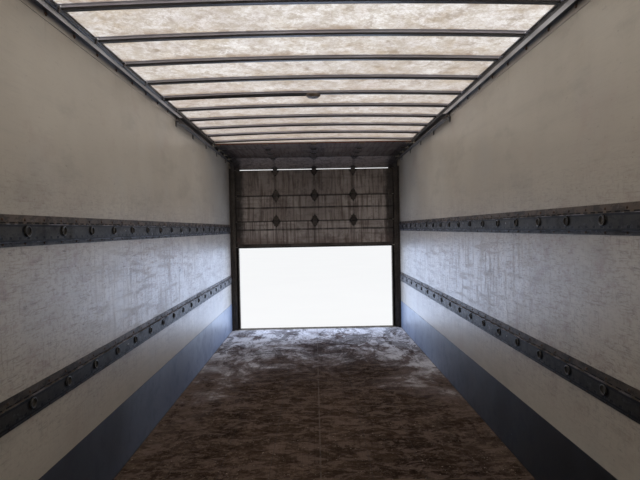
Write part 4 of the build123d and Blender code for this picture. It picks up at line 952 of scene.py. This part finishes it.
def add_roof_details():
    """Bolts through the roof rails, and riveted tabs at the ends of the bows."""
    bolts, tabs, rivets = Shape(), Shape(), Shape()
    for side in (-1, 1):
        inward = (-side, 0, 0)
        for y in repeated(FIRST_RAIL_BOLT + RAIL_BOLT_PITCH, FRAME_FRONT - 0.1, RAIL_BOLT_PITCH):
            bolts.dome((side * RAIL_FACE, y, RAIL_BOTTOM - RAIL_BOLT_DROP), inward, RAIL_BOLT)
        face = side * BOW_HALF
        inner_face = face - side * TAB_THICKNESS
        near_x, far_x = sorted((face, inner_face))
        for y in bows:
            low = (near_x, y - TAB_HALF, BOW_END - TAB_BELOW)
            tabs.block(low, (far_x, y + TAB_HALF, BOW_END + TAB_ABOVE))
            for step in (-TAB_RIVET_STEP, TAB_RIVET_STEP):
                rivets.dome((inner_face, y + step, BOW_END + TAB_RIVET_RISE), inward, BOW_RIVET, sides=8)
    bolts.finish("rail_bolts", paints["rusty"])
    tabs.finish("bow_tabs", paints["inner_rail"], smooth=False)
    rivets.finish("bow_rivets", paints["bolt"])


def add_lamp_details():
    """Two wires clipped along the roof rail, a third out to the dome lamp, and the lamp's rim."""
    wires, clips, rim = Shape(), Shape(), Shape()
    lamp_low, lamp_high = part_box("dome_lamp")
    lamp_x, lamp_y, _ = (lamp_low + lamp_high) / 2
    conduit_low, conduit_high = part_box("lamp_conduit")
    wire_x = conduit_low.x + WIRE_RADIUS
    for height, phase in WIRE_RUNS:
        path = []
        for y in repeated(conduit_low.y, conduit_high.y, BOW_PITCH / WIRE_POINTS_PER_BAY):
            between_bows = math.sin(math.pi * (y - FIRST_BOW) / BOW_PITCH) ** 2
            sag = WIRE_SAG * between_bows * (1 + 0.5 * math.sin(3 * y + phase))
            path.append((wire_x + WIRE_WANDER * math.sin(5 * y + phase), y, BOW_END + height - sag))
        wires.tube(path, WIRE_RADIUS)
    reach = wire_x + LAMP_WIRE_OVERLAP - lamp_low.x
    spans = [lamp_low.x + reach * k / LAMP_WIRE_SPANS for k in range(LAMP_WIRE_SPANS + 1)]
    wires.tube([(x, lamp_y, BOW_END + crown(x) - WIRE_RADIUS - WIRE_BELOW_SKIN) for x in spans], WIRE_RADIUS)
    for y in bows[:-1]:
        low = (-BOW_HALF, y - CLIP_HALF, BOW_END - CLIP_BELOW)
        past_wire = 2 * WIRE_RADIUS - BOW_HALF + CLIP_PAST_WIRE
        clips.block(low, (past_wire, y + CLIP_HALF, BOW_END + CLIP_ABOVE))
    wires.finish("lamp_wires", paints["wire"], replaced=("lamp_conduit",))
    clips.finish("wire_clips", paints["steel"], smooth=False)
    rim_radius = lamp_high.x - lamp_x - RIM_BAR
    rim.hoop((lamp_x, lamp_y, lamp_high.z - RIM_DROP), (0, 0, 1), rim_radius, RIM_BAR, sides=48)
    rim.finish("lamp_rim", paints["bolt"])


def add_floor_details():
    """Dark filler in the seams between the floor boards."""
    seams = Shape()
    board = (2 * INNER_HALF + BOARD_GAP) / BOARD_COUNT
    half = BOARD_GAP / 2 + SEAM_OVERLAP
    for k in range(1, BOARD_COUNT):
        middle = k * board - BOARD_GAP / 2 - INNER_HALF
        low = (middle - half, FRONT_INNER, FLOOR_TOP - SEAM_FOOT)
        seams.block(low, (middle + half, FRAME_FRONT, FLOOR_TOP - SEAM_BELOW_FLOOR))
    seams.finish("floor_seams", paints["seam"], smooth=False)


def add_door_details():
    """Bolts on the hinge leaves, a rubber seal under the door, and the latch's bolts and pin."""
    bolts, seal, latch = Shape(), Shape(), Shape()
    for index in range(1, PANEL_COUNT + 1):
        centre, along, inward = panel_frame(index)
        for end in ([1] if index == 1 else [-1, 1]):
            leaf = centre + along * end * (PANEL_HALF - HINGE_LEAF) + inward * LEAF_FACE
            for x in HINGE_COLUMNS:
                for step in (-LEAF_BOLT_STEP, LEAF_BOLT_STEP):
                    bolts.dome((x + step, leaf.y, leaf.z), inward, HINGE_BOLT, sides=8)
    bolts.finish("hinge_bolts", paints["rusty"])

    low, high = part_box("door_bottom_channel")
    ends = (low.x + SEAL_INSET, high.x - SEAL_INSET)
    seal.tube([(x, (low.y + high.y) / 2, DOOR_BOTTOM - SEAL_DROP) for x in ends], SEAL_RADIUS)
    seal.finish("door_seal", paints["rubber"])

    low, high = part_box("door_latch")
    for x in (low.x + LATCH_BOLT_INSET, high.x - LATCH_BOLT_INSET):
        for z in (low.z + LATCH_BOLT_INSET, high.z - LATCH_BOLT_INSET):
            latch.dome((x, low.y + LATCH_PLATE, z), (0, 1, 0), LATCH_BOLT)
    pin_x, pin_z = low.x + LATCH_PIN[0], low.z + LATCH_PIN[1]
    latch.tube([(pin_x, y, pin_z) for y in (high.y, high.y + LATCH_PIN_LENGTH)], LATCH_PIN_RADIUS)
    latch.finish("latch_bolts", paints["bolt"])


def add_outside_details():
    """Rivets along the outer rails, the front wall's edges and the rear frame."""
    rivets = Shape()

    def panel_rivet(place, outward):
        rivets.dome(place, outward, PANEL_RIVET, sides=6, steps=2)

    sill_low, sill_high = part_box("bottom_rail_left")
    post_low, post_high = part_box("rear_post_left")
    top_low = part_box("top_rail_left")[0]
    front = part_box("front_top_rail")[0].y
    corner_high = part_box("front_corner_post_left")[1].z
    for side in (-1, 1):
        for y in repeated(sill_low.y + 0.05, sill_high.y - 0.03, RIVET_PITCH):
            panel_rivet((side * OUTER_HALF, y, sill_high.z - SILL_RIVET_DROP), (side, 0, 0))
            panel_rivet((side * OUTER_HALF, y, top_low.z + RAIL_RIVET_RISE), (side, 0, 0))
        for z in repeated(post_low.z + 0.08, post_high.z - 0.03, 2 * RIVET_PITCH):
            rivets.dome((side * (OUTER_HALF - POST_RIVET_INSET), REAR_Y, z), (0, 1, 0), FRAME_RIVET, sides=8)
            rivets.dome((side * OUTER_HALF, REAR_Y - POST_RIVET_FORE, z), (side, 0, 0), FRAME_RIVET, sides=8)
        for z in repeated(sill_high.z + 0.10, corner_high - 0.05, RIVET_PITCH):
            panel_rivet((side * (CROWN_HALF - CORNER_RIVET_INSET), front, z), (0, -1, 0))
            panel_rivet((side * OUTER_HALF, front + CORNER_RIVET_BACK, z), (side, 0, 0))
    for x in repeated(-FRONT_RIVET_END, FRONT_RIVET_END, RIVET_PITCH):
        panel_rivet((x, front, top_low.z + FRONT_RIVET_RISE), (0, -1, 0))
        panel_rivet((x, front, sill_high.z - SILL_RIVET_DROP), (0, -1, 0))
    rivets.finish("outer_rivets", paints["rail"])


def make_camera():
    """Camera at the photograph's place and angle."""
    data = bpy.data.cameras.new("camera")
    data.lens = CAMERA_LENS
    data.sensor_width = SENSOR_WIDTH
    data.clip_start = CLIP_START
    data.clip_end = CLIP_END
    camera = bpy.data.objects.new("camera", data)
    aim = Vector((
        math.sin(CAMERA_YAW) * math.cos(CAMERA_PITCH),
        math.cos(CAMERA_YAW) * math.cos(CAMERA_PITCH),
        math.sin(CAMERA_PITCH),
    ))
    camera.location = CAMERA_PLACE
    camera.rotation_mode = "QUATERNION"
    camera.rotation_quaternion = aim.to_track_quat("-Z", "Y") @ Quaternion((0, 0, 1), -CAMERA_ROLL)
    bpy.context.scene.collection.objects.link(camera)
    bpy.context.scene.camera = camera


def make_stage():
    """Plain pale floor, which the camera sees nearly white."""
    ground = bmesh.new()
    bmesh.ops.create_circle(ground, cap_ends=True, segments=96, radius=STAGE_RADIUS)
    mesh = bpy.data.meshes.new("stage_floor")
    ground.to_mesh(mesh)
    ground.free()
    floor = bpy.data.objects.new("stage_floor", mesh)
    bpy.context.scene.collection.objects.link(floor)
    p = Paint("stage_floor", rough=0.9)
    p.colour = p.between(p.noise(0.6, 3, 0.5, cut=(0.3, 0.7)), (236, 237, 240), (242, 243, 245))
    p.finish()
    glow = p.node("ShaderNodeEmission", {"Color": WHITE, "Strength": 1.0})
    p.mix_shader(p.times(p.node("ShaderNodeLightPath").outputs["Is Camera Ray"], STAGE_GLOW), glow)
    mesh.materials.append(p.material)


def make_world():
    """Pale sky that lights the body, seen and mirrored as plain white."""
    world = bpy.data.worlds.new("surroundings")
    bpy.context.scene.world = world
    world.use_nodes = True
    tree = world.node_tree
    add, link = tree.nodes.new, tree.links.new
    sky = tree.nodes["Background"]
    sky.inputs["Color"].default_value = SKY_COLOUR
    sky.inputs["Strength"].default_value = SKY_STRENGTH
    white = add("ShaderNodeBackground")
    white.inputs["Color"].default_value = WHITE
    white.inputs["Strength"].default_value = 1.0
    rays = add("ShaderNodeLightPath").outputs
    seen = rays["Is Camera Ray"]
    for kind in ("Is Glossy Ray", "Is Transmission Ray"):
        either = add("ShaderNodeMath")
        either.operation = "MAXIMUM"
        link(seen, either.inputs[0])
        link(rays[kind], either.inputs[1])
        seen = either.outputs[0]
    mixed = add("ShaderNodeMixShader")
    link(seen, mixed.inputs[0])
    link(sky.outputs[0], mixed.inputs[1])
    link(white.outputs[0], mixed.inputs[2])
    link(mixed.outputs[0], tree.nodes["World Output"].inputs["Surface"])


def area_lamp(name, place, aim, size, watts, colour):
    """Soft rectangular lamp at place, shining towards aim."""
    data = bpy.data.lights.new(name, "AREA")
    data.shape = "RECTANGLE"
    data.size, data.size_y = size
    data.energy = watts
    data.color = colour
    lamp = bpy.data.objects.new(name, data)
    lamp.location = place
    lamp.rotation_mode = "QUATERNION"
    lamp.rotation_quaternion = (Vector(aim) - Vector(place)).to_track_quat("-Z", "Y")
    lamp.visible_camera = False
    bpy.context.scene.collection.objects.link(lamp)


bows = repeated(FIRST_BOW, FRAME_FRONT - BOW_PITCH, BOW_PITCH)
add_lashing_details()
add_roof_details()
add_lamp_details()
add_floor_details()
add_door_details()
add_outside_details()

bpy.context.scene.view_settings.view_transform = "Standard"
make_camera()
make_stage()
make_world()
for lamp in LAMPS:
    area_lamp(*lamp)
